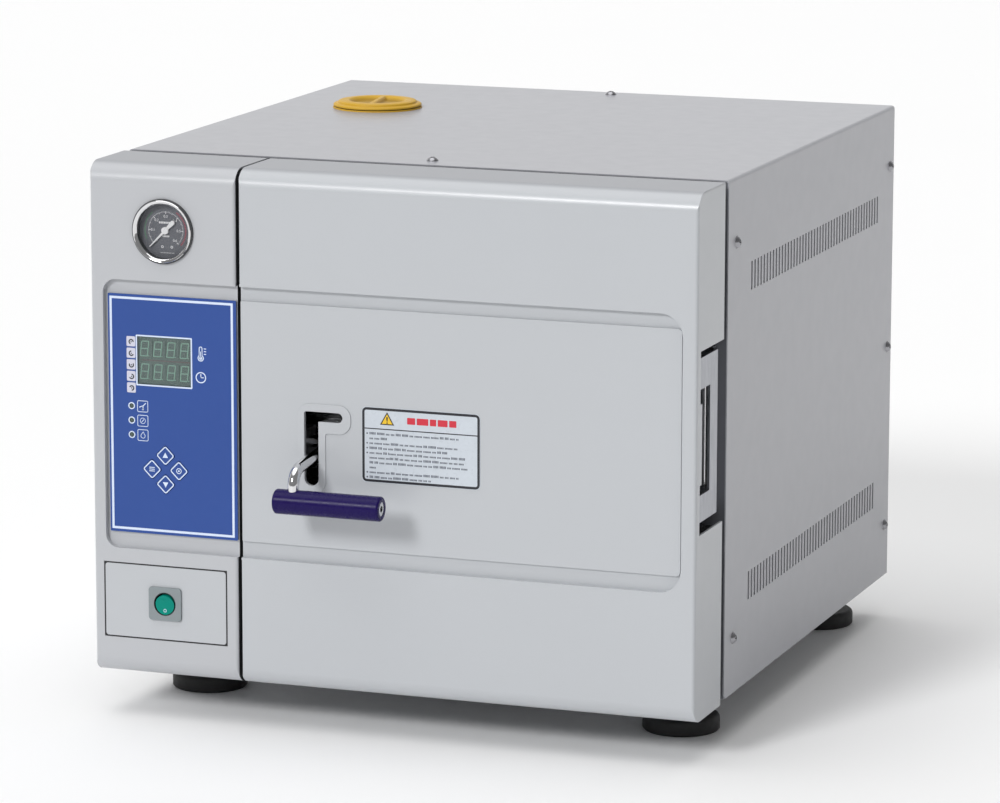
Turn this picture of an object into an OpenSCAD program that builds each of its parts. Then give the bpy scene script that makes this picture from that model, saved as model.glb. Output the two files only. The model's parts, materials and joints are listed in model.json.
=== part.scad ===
// Benchtop steam autoclave: sheet-metal casing, control column on the left,
// side-hinged door with a lever, pressure chamber with trays, water tank and fittings.
// Millimetres. +Z is up, the front faces -Y, and the object stands on z = 0.
// Depths below are counted from the front face: at_front() moves them to the part's frame.

/* [Casing] */
// Width of the whole casing
body_w = 560; // [540:1:600]
// Depth from the front face to the rear edge of the cover
body_d = 616; // [600:1:660]
// Height of the casing without its feet
body_h = 459; // [455:1:480]
// Height of the door's underside above the floor
foot_gap = 39; // [36:1:45]
// Thickness of the folded sheet cover
sheet = 1.2; // [1:0.1:1.4]

/* [Front] */
// Depth of the door and of the control column
front_d = 75; // [74:1:76]
// Shadow gap between the front units and the cover
shadow_gap = 10.3; // [10:0.1:11]
// Width of the control column
column_w = 138; // [137:0.5:138.5]
// Gap between column and door
seam = 3; // [2.5:0.5:4]
// Skin thickness of the door and of the column
skin = 2; // [1.6:0.1:2]
// Depth of the pressed band across the front
band_d = 5.4; // [5:0.1:6]

/* [Chamber] */
// Inside radius of the pressure chamber
chamber_r = 159; // [150:1:159]
// Wall thickness of the chamber
chamber_wall = 3; // [2.5:0.5:3]
// Straight length of the chamber
chamber_l = 420; // [400:1:425]

/* [Handle] */
// Radius of the grip
grip_r = 10.9; // [9:0.1:11]
// Length of the grip
grip_l = 98.5; // [95:0.5:110]
// Distance of the grip's axis in front of the door
grip_out = 41; // [40:1:44]
// Radius of the bent rod
rod_r = 5; // [4:0.5:5]

/* [Keypad] */
// Side of each diamond key
key_side = 13; // [11:0.1:13.5]
// Distance from the keypad's centre to a key's centre
key_pitch = 12.9; // [12.5:0.1:13.5]

/* [Feet and vents] */
// Radius of a rubber foot
foot_r = 34.3; // [30:0.1:36]
// Number of slots in a vent row
vent_n = 45; // [20:1:45]

/* [Hidden] */

$fn = 48;
eps = 0.01;                         // overshoot of a cut
running = 0.06;                     // radial clearance of a running fit
air = 0.4;                          // gap between pieces that move past each other

// Casing planes
left = -body_w / 2;
right = body_w / 2;
bottom = foot_gap;
top = foot_gap + body_h;
cover_front = front_d + shadow_gap;
cover_bottom = bottom + 2.5;
inner_x = right - sheet - 0.2;      // outside of the pieces that sit in the cover
frame_y = cover_front + 1.2;        // front of the front frame
frame_t = 2;
rear_y = body_d - 3;                // front of the rear panel
flange_t = 1.8;
flange_depth = 34;

// The box of the whole part runs from the grip to the drain outlet
spigot_end = body_d + 24;
grip_front = -(grip_out + grip_r);
y_front = -(spigot_end + grip_front) / 2;

// Column and door
column_right = left + column_w;
door_left = column_right + seam;
band_z0 = bottom + 114.4;
band_z1 = bottom + 356;
inset_z0 = bottom + 129;
inset_z1 = bottom + 343;
inset_y = 2.9;                      // front of the raised inner panels
band_left = left + 11.5;
band_right = right - 13;
front_top_r = 17;
front_bottom_r = 15;
side_r = 3;

// Chamber and door mechanism
chamber_x = 58;
chamber_z = bottom + 230;
flange_y = 83;                      // sealing face of the chamber
flange_r = 176;
lid_r = 166;
lid_y = 70;
lid_t = 6;
gasket_t = 5.2;
hinge_x = right - 11;
hinge_y = 58;
pin_r = 4;
knuckle_r = 6;
knuckle_z0 = bottom + 199.9;
knuckle_z1 = bottom + 287.1;
bracket_z0 = bottom + 174;
bracket_z1 = bottom + 316.6;
window_z0 = bottom + 197.5;
window_z1 = bottom + 289.5;
cut_z0 = bottom + 164;
cut_z1 = bottom + 323.4;
cut_y = 10;
beam_z0 = bottom + 205;
beam_z1 = bottom + 255;
beam_y = 24;
beam_t = 16;
beam_left = -20;

// Lever
shaft_y = 50;
shaft_z = bottom + 213.6;
shaft_r = 6;
rod_x = -71.8;
rod_tilt = 6;                       // the rod's slope towards the front, in degrees
bend_r = 15;
grip_z = bottom + 177.5;
grip_x0 = -88.3;
grip_end = grip_x0 + grip_l;
slot_x0 = -78.9;
slot_x1 = -65.6;
slot_end = -43.1;
slot_z0 = bottom + 183.7;
slot_z1 = bottom + 249.6;
slot_leg_z = bottom + 241;
cam_off = 24;                       // distance of each cam from the chamber's axis

// Points of the rod's bend as [y, z], from the upright stretch to the sloping one
bend_steps = 9;
corner_z = shaft_z - (shaft_y + grip_out) * tan(rod_tilt);
bend_tangent = bend_r * tan((90 - rod_tilt) / 2);
bend_points = [for (i = [0:bend_steps]) let (a = i * (90 - rod_tilt) / bend_steps)
    [-grip_out + bend_r * (1 - cos(a)), corner_z - bend_tangent + bend_r * sin(a)]];

// Latch opening in the column's side
latch_y0 = 50;
latch_h = 16;
latch_z0 = bottom + 291;

// Gauge, display, keys and switch on the column
gauge_x = -210;
gauge_z = bottom + 400.9;
bezel_r = 27.6;
dial_r = 25;
gauge_rim_r = 28.7;                  // black rim round the bezel
dial_y = 6;                         // front of the dial
case_lip = 1.2;                     // thickness of the case's front flange
display_x0 = -237.2;
display_x1 = -186;
digit_pitch = 12.7;                  // of the 14.2 mm digits
display_z0 = bottom + 263.2;
display_z1 = bottom + 306;
keypad_x = -211.2;
keypad_z = bottom + 187.6;
lamp_x = -243.2;
lamp_z0 = bottom + 217.4;
lamp_pitch = 12.95;
switch_x = -211.6;
switch_z = bottom + 67;
plate_x0 = -269.5;
plate_x1 = -153.6;
plate_z0 = bottom + 34.5;
plate_z1 = bottom + 100.2;
rocker_r = 8.9;
rocker_rest = 7;                    // tilt of the rocker as built, in degrees

// Inside of the casing
dish = 40;                          // depth of the chamber's domed end
dome_end = flange_y + 14 + chamber_l + dish;
wool_r = chamber_r + chamber_wall + 22;
rack_half = 112;
tray_levels = [bottom + 156, bottom + 211, bottom + 266];
pipe_r = 4;
outlet_x = 150;
outlet_z = bottom + 46;
inlet_z = bottom + 50;

// Tank and filler
tank_top = top - 28;
filler_x = -178;
filler_y = 433;
neck_r = 32;
neck_top = top + 1.2;

// Side plate of the hinge bracket
plate_t = 2.5;
plate_x = right - 2;                // outside of the plate
bracket_front = 16;
joggle = 6.5;
joggle_y = 64.5;                    // where the plate turns inwards

// Feet
foot_x = right - 53.7;
foot_y = [132.2, 559.9];
foot_h = 14.5;

// Vents and screws
vent_pitch = 9.2;
vent_y0 = 153;
vent_len = 25.4;
vent_w = 4;
vent_z = [bottom + 353.8, bottom + 77.1];
side_screws = [[110, bottom + 402.4], [110, bottom + 52.6], [603, bottom + 402.2],
    [603, bottom + 227.6], [603, bottom + 52.6]];
top_screws = [110, 599];

steel = [0.78, 0.78, 0.8];
shell_grey = [0.77, 0.785, 0.795];
dark = [0.12, 0.12, 0.13];
gold = [0.9, 0.68, 0.2];

// ---- helpers ----
module at_front() translate([0, y_front, 0]) children();

function arc(cx, cy, r, a0, a1, n = 8) =
    [for (i = [0:n]) let (a = a0 + (a1 - a0) * i / n) [cx + r * cos(a), cy + r * sin(a)]];

// Rectangle with its own radius at each corner: upper right, upper left, lower left, lower right
function rounded(x0, z0, x1, z1, r) = concat(
    arc(x1 - r[0], z1 - r[0], r[0], 0, 90), arc(x0 + r[1], z1 - r[1], r[1], 90, 180),
    arc(x0 + r[2], z0 + r[2], r[2], 180, 270), arc(x1 - r[3], z0 + r[3], r[3], 270, 360));

function four(r) = [r, r, r, r];

// Extrusions of an outline along each axis
module along_x(x0, x1, pts) translate([x0, 0, 0]) rotate([90, 0, 90])
    linear_extrude(x1 - x0) polygon(pts);
module along_y(y0, y1, pts) translate([0, y1, 0]) rotate([90, 0, 0])
    linear_extrude(y1 - y0) polygon(pts);
module along_z(z0, z1, pts) translate([0, 0, z0]) linear_extrude(z1 - z0) polygon(pts);

module both_sides() for (m = [0, 1]) mirror([m, 0, 0]) children();

module block(x, y, z) translate([x[0], y[0], z[0]]) cube([x[1] - x[0], y[1] - y[0], z[1] - z[0]]);

// Cylinders whose axis lies along X, Y or Z
module rod_x(x0, x1, y, z, r) translate([x0, y, z]) rotate([0, 90, 0]) cylinder(r = r, h = x1 - x0);
module rod_y(x, y0, y1, z, r) translate([x, y1, z]) rotate([90, 0, 0]) cylinder(r = r, h = y1 - y0);
module rod_z(x, y, z0, z1, r) translate([x, y, z0]) cylinder(r = r, h = z1 - z0);

module ring_y(x, y0, y1, z, r0, r1) difference() {
    rod_y(x, y0, y1, z, r1);
    rod_y(x, y0 - eps, y1 + eps, z, r0);
}
module ring_z(x, y, z0, z1, r0, r1) difference() {
    rod_z(x, y, z0, z1, r1);
    rod_z(x, y, z0 - eps, z1 + eps, r0);
}

// Body of revolution about an axis along Y through (x, z), from [radius, y] points
module spin_y(x, z, pts) translate([x, 0, z]) rotate([-90, 0, 0]) rotate_extrude($fn = 96) polygon(pts);

module hex_z(x, y, z0, z1, r) translate([x, y, z0]) cylinder(r = r, h = z1 - z0, $fn = 6);

// ---- front shells ----
// Side outline of a front unit, inset by t on every wall
function front_profile(t) = let (rt = front_top_r - t, rb = front_bottom_r - t,
        y1 = t > 0 ? front_d + 1 : front_d) concat(
    [[y1, bottom + t]], [[y1, top - t]],
    arc(t + rt, top - t - rt, rt, 90, 180, 10), arc(t + rb, bottom + t + rb, rb, 180, 270, 10));

// Plan outline with small radii on the two front edges
function front_plan(x0, x1) = concat([[x1, front_d], [x0, front_d]],
    arc(x0 + side_r, side_r, side_r, 180, 270, 5), arc(x1 - side_r, side_r, side_r, 270, 360, 5));

module front_shell(x0, x1, band_x0, band_x1, band_r) {
    floor_y = band_d + skin;
    difference() {
        union() {
            difference() {
                intersection() {
                    along_x(x0, x1, front_profile(0));
                    along_z(bottom - 1, top + 1, front_plan(x0, x1));
                }
                along_x(x0 + skin, x1 - skin, front_profile(skin));
            }
            block([max(x0 + 0.5, band_x0 - skin), min(x1 - 0.5, band_x1 + skin)], [0.5, floor_y],
                [band_z0 - skin, band_z1 + skin]);
        }
        along_y(-1, band_d, rounded(band_x0, band_z0, band_x1, band_z1, band_r));
    }
}

// ---- casing ----
module base_pan() at_front() color(steel) difference() {
    z0 = cover_bottom;
    union() {
        block([-inner_x, inner_x], [frame_y + frame_t, rear_y], [z0, z0 + 1.5]);
        both_sides() block([inner_x - 1.5, inner_x], [frame_y + frame_t, rear_y], [z0, z0 + 25]);
    }
    for (s = [-1, 1], y = foot_y) rod_z(s * foot_x, y, z0 - 1, z0 + 3, 5);
    for (i = [0:7]) block([150, 210], [200 + i * 34, 206 + i * 34], [z0 - 1, z0 + 3]);
}

module frame_flanges(y0, y1) {
    both_sides() block([inner_x - flange_t, inner_x], [y0, y1], [cover_bottom + 27, top - 6]);
    block([-inner_x + 10, inner_x - 10], [y0, y1], [top - sheet - 0.2 - flange_t, top - sheet - 0.2]);
}

module screw_shanks(r) {
    for (p = side_screws) both_sides() rod_x(right - 12, right + 1, p[0], p[1], r);
    for (y = top_screws) rod_z(0, y, top - 12, top + 1, r);
}

module front_frame() at_front() color(steel) difference() {
    union() {
        block([-inner_x, inner_x], [frame_y, frame_y + frame_t], [cover_bottom, top - sheet - 0.2]);
        frame_flanges(frame_y + frame_t, frame_y + frame_t + flange_depth);
    }
    rod_y(chamber_x, frame_y - 1, frame_y + frame_t + 1, chamber_z, flange_r + 0.5);
    block([left + 20, column_right - 20], [frame_y - 1, frame_y + frame_t + 1], [bottom + 60, top - 60]);
    screw_shanks(2);
}

module rear_panel() at_front() color(steel) difference() {
    union() {
        block([-inner_x, inner_x], [rear_y, rear_y + 2], [cover_bottom, top - sheet - 0.2]);
        frame_flanges(rear_y - flange_depth, rear_y);
    }
    for (i = [0:11], x = [-215, -40]) block([x, x + 80], [rear_y - 1, rear_y + 3],
        [bottom + 250 + i * 12, bottom + 254 + i * 12]);
    rod_y(outlet_x, rear_y - 1, rear_y + 3, outlet_z, 8);
    block([-194, -166], [rear_y - 1, rear_y + 3], [inlet_z - 10, inlet_z + 10]);
    screw_shanks(2);
}

module wrap_cover() at_front() color(shell_grey) difference() {
    r = 3;
    t = sheet;
    along_y(cover_front, body_d, concat(
        [[right, cover_bottom]], arc(right - r, top - r, r, 0, 90, 4),
        arc(left + r, top - r, r, 90, 180, 4),
        [[left, cover_bottom], [left + t, cover_bottom]],
        arc(left + r, top - r, r - t, 180, 90, 4), arc(right - r, top - r, r - t, 90, 0, 4),
        [[right - t, cover_bottom]]));
    for (i = [0:vent_n - 1], z = vent_z) let (y = vent_y0 + i * vent_pitch)
        block([left - 1, right + 1], [y, y + vent_w], [z, z + vent_len]);
    rod_z(filler_x, filler_y, top - 5, top + 1, neck_r + 3);
    screw_shanks(2.5);
    both_sides() translate([right, cover_front, cover_bottom]) rotate([45, 0, 0])
        cube([9, 6, 6], center = true);
}

module cover_screws() at_front() color(steel) {
    head = 5.5;
    for (p = side_screws) both_sides() translate([right, p[0], p[1]]) rotate([0, 90, 0]) pan_screw(head);
    for (y = top_screws) translate([0, y, top]) pan_screw(head);
}

// Domed head above z = 0 with a cross recess, shank below
module pan_screw(r) {
    dome = 3.6;
    big = (r * r + dome * dome) / (2 * dome);
    difference() {
        intersection() {
            translate([0, 0, dome - big]) sphere(r = big);
            cylinder(r = r, h = dome + 1);
        }
        for (a = [0, 90]) rotate([0, 0, a]) translate([-2.6, -0.5, dome - 1.6]) cube([5.2, 1, 4]);
    }
    translate([0, 0, -10]) cylinder(r = 1.98, h = 10 + eps);
}

module rubber_feet() at_front() color(dark) for (s = [-1, 1], y = foot_y)
    translate([s * foot_x, y, 0]) difference() {
        rotate_extrude($fn = 96) polygon(concat([[0, 0], [foot_r - 1.5, 0], [foot_r, 1.5]],
            arc(foot_r - 4, foot_h - 4, 4, 0, 90, 6), [[0, foot_h]]));
        translate([0, 0, 6]) cylinder(r = 5, h = foot_h);
    }

module foot_studs() at_front() color(steel) for (s = [-1, 1], y = foot_y) {
    rod_z(s * foot_x, y, 6, cover_bottom + 12, 4.95);
    hex_z(s * foot_x, y, cover_bottom - 7, cover_bottom, 9);
    hex_z(s * foot_x, y, cover_bottom + 1.5, cover_bottom + 8, 9);
}

// ---- control column ----
module control_column() at_front() color(shell_grey) difference() {
    front_shell(left, column_right, band_left, column_right + 20, [2, 12, 12, 2]);
    rod_y(gauge_x, -1, 12, gauge_z, dial_r + 1.5);
    block([-254, -158], [0, 12], [bottom + 150, bottom + 326]);
    block([plate_x0 - 1.4, plate_x1 + 1.4], [-1, skin + 2], [plate_z0 - 1.4, plate_z1 + 1.4]);
    block([column_right - 3, column_right + 1], [latch_y0 - 1, latch_y0 + 13],
        [latch_z0 - 1, latch_z0 + latch_h + 1]);
}

module column_chassis() at_front() color(steel) {
    x0 = left + 18;
    x1 = column_right - 18;
    z0 = bottom + 42;
    z1 = top - 40;
    difference() {
        union() {
            block([left + skin, column_right - skin], [front_d - 3.5, front_d - 1.5],
                [bottom + skin, top - skin]);
            block([x0, x1], [front_d - 1.5, frame_y], [z0, z1]);
        }
        block([x0 + 2, x1 - 2], [front_d - 5, frame_y + 1], [z0 + 2, z1 - 2]);
    }
    latch_keeper();
}

// Welded angle with the hole that the latch bolt enters
module latch_keeper() difference() {
    x0 = column_right - 14;
    plate = front_d - 3.5;
    union() {
        block([x0, x0 + 4], [latch_y0 - 8, plate + eps], [latch_z0 - 8, latch_z0 + latch_h + 8]);
        block([x0, x0 + 10], [plate - 3, plate + eps], [latch_z0 - 8, latch_z0 + latch_h + 8]);
    }
    block([x0 - 1, x0 + 5], [latch_y0 - 0.5, latch_y0 + 12.5], [latch_z0 - 0.5, latch_z0 + latch_h + 0.5]);
}

// Case with a raised rim that seats on the column's face and holds the bezel
module gauge_case() at_front() color(dark) spin_y(gauge_x, gauge_z,
    [[0, 37], [dial_r, 37], [dial_r, -case_lip], [bezel_r + 0.05, -case_lip], [bezel_r + 0.05, -2.6],
    [gauge_rim_r - 0.4, -2.6], [gauge_rim_r, -2.2], [gauge_rim_r, 0], [dial_r + 1.3, 0],
    [dial_r + 1.3, 38.5], [7, 38.5], [7, 56], [0, 56]]);

module gauge_dial() at_front() color([0.25, 0.25, 0.27])
    ring_y(gauge_x, dial_y, dial_y + 1.2, gauge_z, 1.5 + running, dial_r - 0.05);

module gauge_glass() at_front() color([0.8, 0.85, 0.86, 0.3]) rod_y(gauge_x, -1.5, 0, gauge_z, dial_r);

module gauge_bezel() at_front() color(steel) spin_y(gauge_x, gauge_z, concat(
    [[bezel_r + 0.05 - 4 * cos(30), -1.5]], arc(bezel_r + 0.05, 0.2, 4, -150, -97, 6),
    [[bezel_r, -3.3], [bezel_r, -case_lip], [dial_r, -case_lip], [dial_r, -1.5]]));

// Built pointing to the lower left, where the scale starts
module gauge_needle() at_front() color("white") translate([gauge_x, 0, gauge_z]) {
    rod_y(0, dial_y - 2.8, dial_y - 0.8, 0, 3.2);
    rod_y(0, dial_y - 0.8 - eps, dial_y + 4, 0, 1.5);
    rotate([0, -45, 0]) along_y(dial_y - 2.2, dial_y - 1.4,
        [[-21, -0.35], [0, -1.1], [11, -2], [12.5, 0], [11, 2], [0, 1.1], [-21, 0.35]]);
}

module diamond(x, z, side, y0, y1) translate([x, y1, z]) rotate([90, 45, 0])
    linear_extrude(y1 - y0) polygon(rounded(-side / 2, -side / 2, side / 2, side / 2, four(2)));

module key_openings(y0, y1) for (a = [0:90:270])
    diamond(keypad_x + key_pitch * cos(a), keypad_z + key_pitch * sin(a), key_side + 2 * air, y0, y1);

module lamp_openings(y0, y1) for (i = [0:2]) rod_y(lamp_x, y0, y1, lamp_z0 + i * lamp_pitch, 2.5);

module keypad_sheet(y0, y1) difference() {
    along_y(y0, y1, rounded(band_left + 3.5, inset_z0, column_right - 0.6, inset_z1, four(1)));
    block([display_x0, display_x1], [y0 - 1, y1 + 1], [display_z0, display_z1]);
    key_openings(y0 - 1, y1 + 1);
    lamp_openings(y0 - 1, y1 + 1);
}

module keypad_plate() at_front() color(steel) keypad_sheet(inset_y, band_d);

module membrane_overlay() at_front() color([0.255, 0.353, 0.608]) keypad_sheet(inset_y - 0.4, inset_y);

module pad_key(angle) at_front() color([0.22, 0.32, 0.58]) diamond(keypad_x + key_pitch * cos(angle),
    keypad_z + key_pitch * sin(angle), key_side, inset_y - 0.8, band_d + 1);

module key_up() pad_key(90);
module key_down() pad_key(270);
module key_left() pad_key(180);
module key_right() pad_key(0);

module display_window() at_front() color([0.3, 0.36, 0.34, 0.5])
    block([display_x0, display_x1], [inset_y - 0.4, inset_y + 1], [display_z0, display_z1]);

module display_module() at_front() color(dark) difference() {
    block([display_x0 + 0.4, display_x1 - 0.4], [inset_y + 1.4, 17.4], [display_z0 + 0.4, display_z1 - 0.4]);
    for (row = [0, 1], i = [0:3]) block([display_x0 + 1.1 + i * digit_pitch, display_x0 + 10.8 + i * digit_pitch],
        [inset_y, inset_y + 2], [display_z0 + 4 + row * 20.4, display_z0 + 18.6 + row * 20.4]);
}

module status_lamps() at_front() color([0.85, 0.9, 0.85]) for (i = [0:2]) {
    z = lamp_z0 + i * lamp_pitch;
    rod_y(lamp_x, 4, 17.4, z, 2.3);
    translate([lamp_x, 4, z]) sphere(r = 2.3);
}

module control_board() at_front() color([0.1, 0.35, 0.2]) {
    block([-260, -152], [17.4, 19], [bottom + 155, bottom + 322]);
    for (x = [-255.5, -156.5], z = [bottom + 160, bottom + 317]) rod_y(x, band_d + skin, 17.4, z, 2.5);
    for (i = [0:3]) block([-250 + i * 24, -236 + i * 24], [19, 27], [bottom + 170, bottom + 188]);
    for (i = [0:2]) rod_y(-245 + i * 30, 19, 36, bottom + 300, 7);
    block([-240, -190], [19, 34], [bottom + 215, bottom + 255]);
}

module switch_plate() at_front() color(shell_grey) difference() {
    union() {
        along_y(0, skin + 0.2, rounded(plate_x0, plate_z0, plate_x1, plate_z1, four(2.5)));
        block([plate_x0 - 4, plate_x1 + 4], [skin, skin + 1.4], [plate_z0 - 4, plate_z1 + 4]);
    }
    rod_y(switch_x, -1, skin + 3, switch_z, 13.5);
}

// Grey square bezel with a round well, barrel behind, and the pivot ears of the rocker
module switch_housing() at_front() color([0.35, 0.36, 0.36]) difference() {
    union() {
        along_y(-2, 0, rounded(switch_x - 15.5, switch_z - 15, switch_x + 15.5, switch_z + 15, four(3)));
        rod_y(switch_x, 0, 24, switch_z, 13.4);
    }
    rod_y(switch_x, -3, 18, switch_z, rocker_r + 1);
    rod_x(switch_x - 13, switch_x + 13, 4, switch_z, 1.5 + running);
}

module power_rocker() at_front() color([0.05, 0.55, 0.35]) translate([switch_x, 4, switch_z]) {
    rotate([rocker_rest, 0, 0]) difference() {
        rod_y(0, -6.8, 3.4, 0, rocker_r);
        rod_x(-20, 20, -44.8, 0, 39);
    }
    rod_x(-12.4, 12.4, 0, 0, 1.5);
}

// ---- inside the casing ----
module chamber() at_front() color(steel) {
    y0 = flange_y + 14;
    y1 = y0 + chamber_l;
    outer = chamber_r + chamber_wall;
    spin_y(chamber_x, chamber_z, concat(
        [[chamber_r, flange_y], [flange_r, flange_y], [flange_r, y0], [outer, y0]],
        [for (i = [0:10]) [outer * cos(i * 9), y1 + dish * sin(i * 9)]],
        [for (i = [10:-1:0]) [chamber_r * cos(i * 9), y1 + (dish - chamber_wall) * sin(i * 9)]]));
}

module chamber_insulation() at_front() color([0.93, 0.92, 0.88])
    ring_y(chamber_x, flange_y + 15, flange_y + 14 + chamber_l, chamber_z, chamber_r + chamber_wall, wool_r);

module chamber_cradle() at_front() color(steel) for (y = [160, 440]) difference() {
    z0 = cover_bottom + 1.5;
    union() {
        block([chamber_x - 140, chamber_x + 140], [y, y + 4], [z0, chamber_z - 60]);
        block([chamber_x - 140, chamber_x + 140], [y + 4, y + 30], [z0, z0 + 3]);
    }
    rod_y(chamber_x, y - 1, y + 5, chamber_z, wool_r);
}

module heating_element() at_front() color([0.5, 0.5, 0.52]) {
    z = chamber_z - chamber_r + 17;
    half = 36;
    r = 4;
    for (s = [-1, 1]) rod_y(chamber_x + s * half, 180, 500, z, r);
    translate([chamber_x, 180, z]) rotate([0, 0, 180]) rotate_extrude(angle = 180)
        translate([half, 0]) circle(r = r);
}

module tray_rack() at_front() color(steel) {
    for (s = [-1, 1]) {
        x = chamber_x + s * rack_half;
        block([x - 0.75, x + 0.75], [115, 495], [chamber_z - 109, chamber_z + 90]);
        for (z = tray_levels) block([x - 4.5 * s - 4.5, x - 4.5 * s + 4.5], [115, 495], [z - 2, z]);
    }
    for (y = [125, 480]) block([chamber_x - rack_half, chamber_x + rack_half], [y, y + 8],
        [chamber_z - 96, chamber_z - 92]);
}

module tray(z) at_front() color(steel) difference() {
    x0 = chamber_x - rack_half + 2;
    x1 = chamber_x + rack_half - 2;
    block([x0, x1], [118, 492], [z, z + 17]);
    block([x0 + 1, x1 - 1], [119, 491], [z + 1, z + 18]);
    for (i = [0:4], j = [0:8]) rod_z(chamber_x + (i - 2) * 38, 145 + j * 40, z - 1, z + 2, 5);
}

module tray_lower() tray(tray_levels[0]);
module tray_middle() tray(tray_levels[1]);
module tray_upper() tray(tray_levels[2]);

module water_tank() at_front() color([0.86, 0.88, 0.9]) difference() {
    block([-268, -136], [330, 575], [bottom + 226, tank_top]);
    block([-266, -138], [332, 573], [bottom + 228, tank_top - 2]);
    rod_z(filler_x, filler_y, tank_top - 3, tank_top + 1, neck_r);
    rod_z(-200, 400, bottom + 225, bottom + 229, 4);
}

module filler_neck() at_front() color(gold) {
    ring_z(filler_x, filler_y, tank_top, top, neck_r, neck_r + 2.5);
    translate([filler_x, filler_y, top]) rotate_extrude($fn = 96)
        polygon([[neck_r, 0], [42.3, 0], [42.3, 0.8], [41.9, neck_top - top], [neck_r, neck_top - top]]);
}

module cap_gasket() at_front() color(dark)
    ring_z(filler_x, filler_y, neck_top + 0.2, neck_top + 0.8, neck_r, 36);

// Turned cap with two thumb hollows and a grip bar between them
module filler_cap() at_front() color(gold) translate([filler_x, filler_y, neck_top + 0.9]) difference() {
    h = 5.2;
    r = 42;
    hollow_r = 27;
    hollow_d = 3.6;
    big = (hollow_r * hollow_r + hollow_d * hollow_d) / (2 * hollow_d);
    union() {
        rotate_extrude($fn = 96) polygon(concat([[0, 0], [r, 0]], arc(r - 1.4, 0.9, 1.4, 0, 70, 4),
            [[38, 2.9], [36.6, 3.4], [34.5, 4.6], [31, h], [0, h]]));
        translate([0, 0, -18]) cylinder(r = neck_r - 0.6, h = 18.5);
    }
    for (a = [0, 180]) rotate([0, 0, 12 + a]) intersection() {
        translate([0, 0, h - hollow_d + big]) sphere(r = big);
        translate([5.5, -40, 0]) cube([40, 80, h + 1]);
    }
    translate([0, 0, -19]) cylinder(r = 27, h = 17);
}

module solenoid_valves() at_front() color([0.72, 0.6, 0.3]) for (y = [150, 240]) {
    block([-240, -190], [y, y + 30], [bottom + 40, bottom + 66]);
    rod_z(-215, y + 15, bottom + 66 - eps, bottom + 72, 8);
    block([-232, -198], [y - 2, y + 32], [bottom + 72 - eps, bottom + 112]);
}

module safety_valve() at_front() color([0.8, 0.66, 0.3]) {
    hex_y(chamber_x, dome_end, dome_end + 13, chamber_z, 9);
    rod_y(chamber_x, dome_end + 13 - eps, dome_end + 35, chamber_z, 7);
    rod_y(chamber_x, dome_end + 35 - eps, dome_end + 39, chamber_z, 10);
}

module hex_y(x, y0, y1, z, r) translate([x, y1, z]) rotate([90, 0, 0]) cylinder(r = r, h = y1 - y0, $fn = 6);

module power_supply() at_front() color([0.55, 0.56, 0.58]) {
    z0 = cover_bottom + 1.5;
    block([-255, -150], [400, 545], [z0, z0 + 70]);
    for (i = [0:5]) block([-245 + i * 16, -241 + i * 16], [405, 540], [z0 + 70 - eps, z0 + 90]);
}

module elbow(x, y, z, r) translate([x, y, z]) sphere(r = r);

module pipework() at_front() color([0.75, 0.47, 0.3]) {
    r = pipe_r;
    x = -200;
    valve_z = bottom + 53;
    turn_z = bottom + 130;
    // Tank outlet down to the rear valve
    rod_z(x, 400, turn_z, bottom + 226, r);
    elbow(x, 400, turn_z, r);
    rod_y(x, 290, 400, turn_z, r);
    elbow(x, 290, turn_z, r);
    rod_z(x, 290, valve_z, turn_z, r);
    elbow(x, 290, valve_z, r);
    rod_y(x, 270, 290, valve_z, r);
    // Drain line from the front valve to the outlet at the back
    low = bottom + 20;
    side = -140;
    back = 590;
    rod_x(-190, side, 165, valve_z, r);
    elbow(side, 165, valve_z, r);
    rod_z(side, 165, low, valve_z, r);
    elbow(side, 165, low, r);
    rod_y(side, 165, back, low, r);
    elbow(side, back, low, r);
    rod_x(side, outlet_x, back, low, r);
    elbow(outlet_x, back, low, r);
    rod_z(outlet_x, back, low, outlet_z, r);
    elbow(outlet_x, back, outlet_z, r);
    rod_y(outlet_x, back, 598, outlet_z, r);
}

module drain_outlet() at_front() color([0.8, 0.66, 0.3]) difference() {
    z = outlet_z;
    union() {
        rod_y(outlet_x, 598, spigot_end, z, 5);
        rod_y(outlet_x, 605, rear_y + 2 + eps, z, 8 - 0.05);
        hex_y(outlet_x, rear_y + 2, rear_y + 8, z, 11);
        hex_y(outlet_x, 602, 608, z, 11);
    }
    rod_y(outlet_x, 600, spigot_end + 1, z, 3);
}

module power_inlet() at_front() color(dark) {
    z = inlet_z;
    difference() {
        union() {
            block([-205, -155], [rear_y + 2, rear_y + 5], [z - 13, z + 13]);
            block([-193.8, -166.2], [rear_y - 22, rear_y + 2 + eps], [z - 9.8, z + 9.8]);
        }
        block([-192, -168], [rear_y - 14, rear_y + 6], [z - 8, z + 8]);
    }
    for (p = [[-187, -3], [-180, 2], [-173, -3]])
        block([p[0] - 1, p[0] + 1], [rear_y - 14 - eps, rear_y + 1], [z + p[1] - 2, z + p[1] + 2]);
}

// ---- hinge and latch on the casing ----
// Side plate, a 45 degree joggle inwards, and the flange that sits on the front frame
function bracket_outline() = let (r = 8, t = plate_t, xo = plate_x - joggle, yf = frame_y, cut = t * tan(22.5))
    concat([[plate_x, bracket_front], [plate_x, joggle_y], [xo, joggle_y + joggle]],
        arc(xo - r, yf - r, r, 0, 90, 6), [[251, yf], [251, yf - t]],
        arc(xo - r, yf - r, r - t, 90, 0, 6),
        [[xo - t, joggle_y + joggle - cut], [plate_x - t, joggle_y - cut], [plate_x - t, bracket_front]]);

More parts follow.
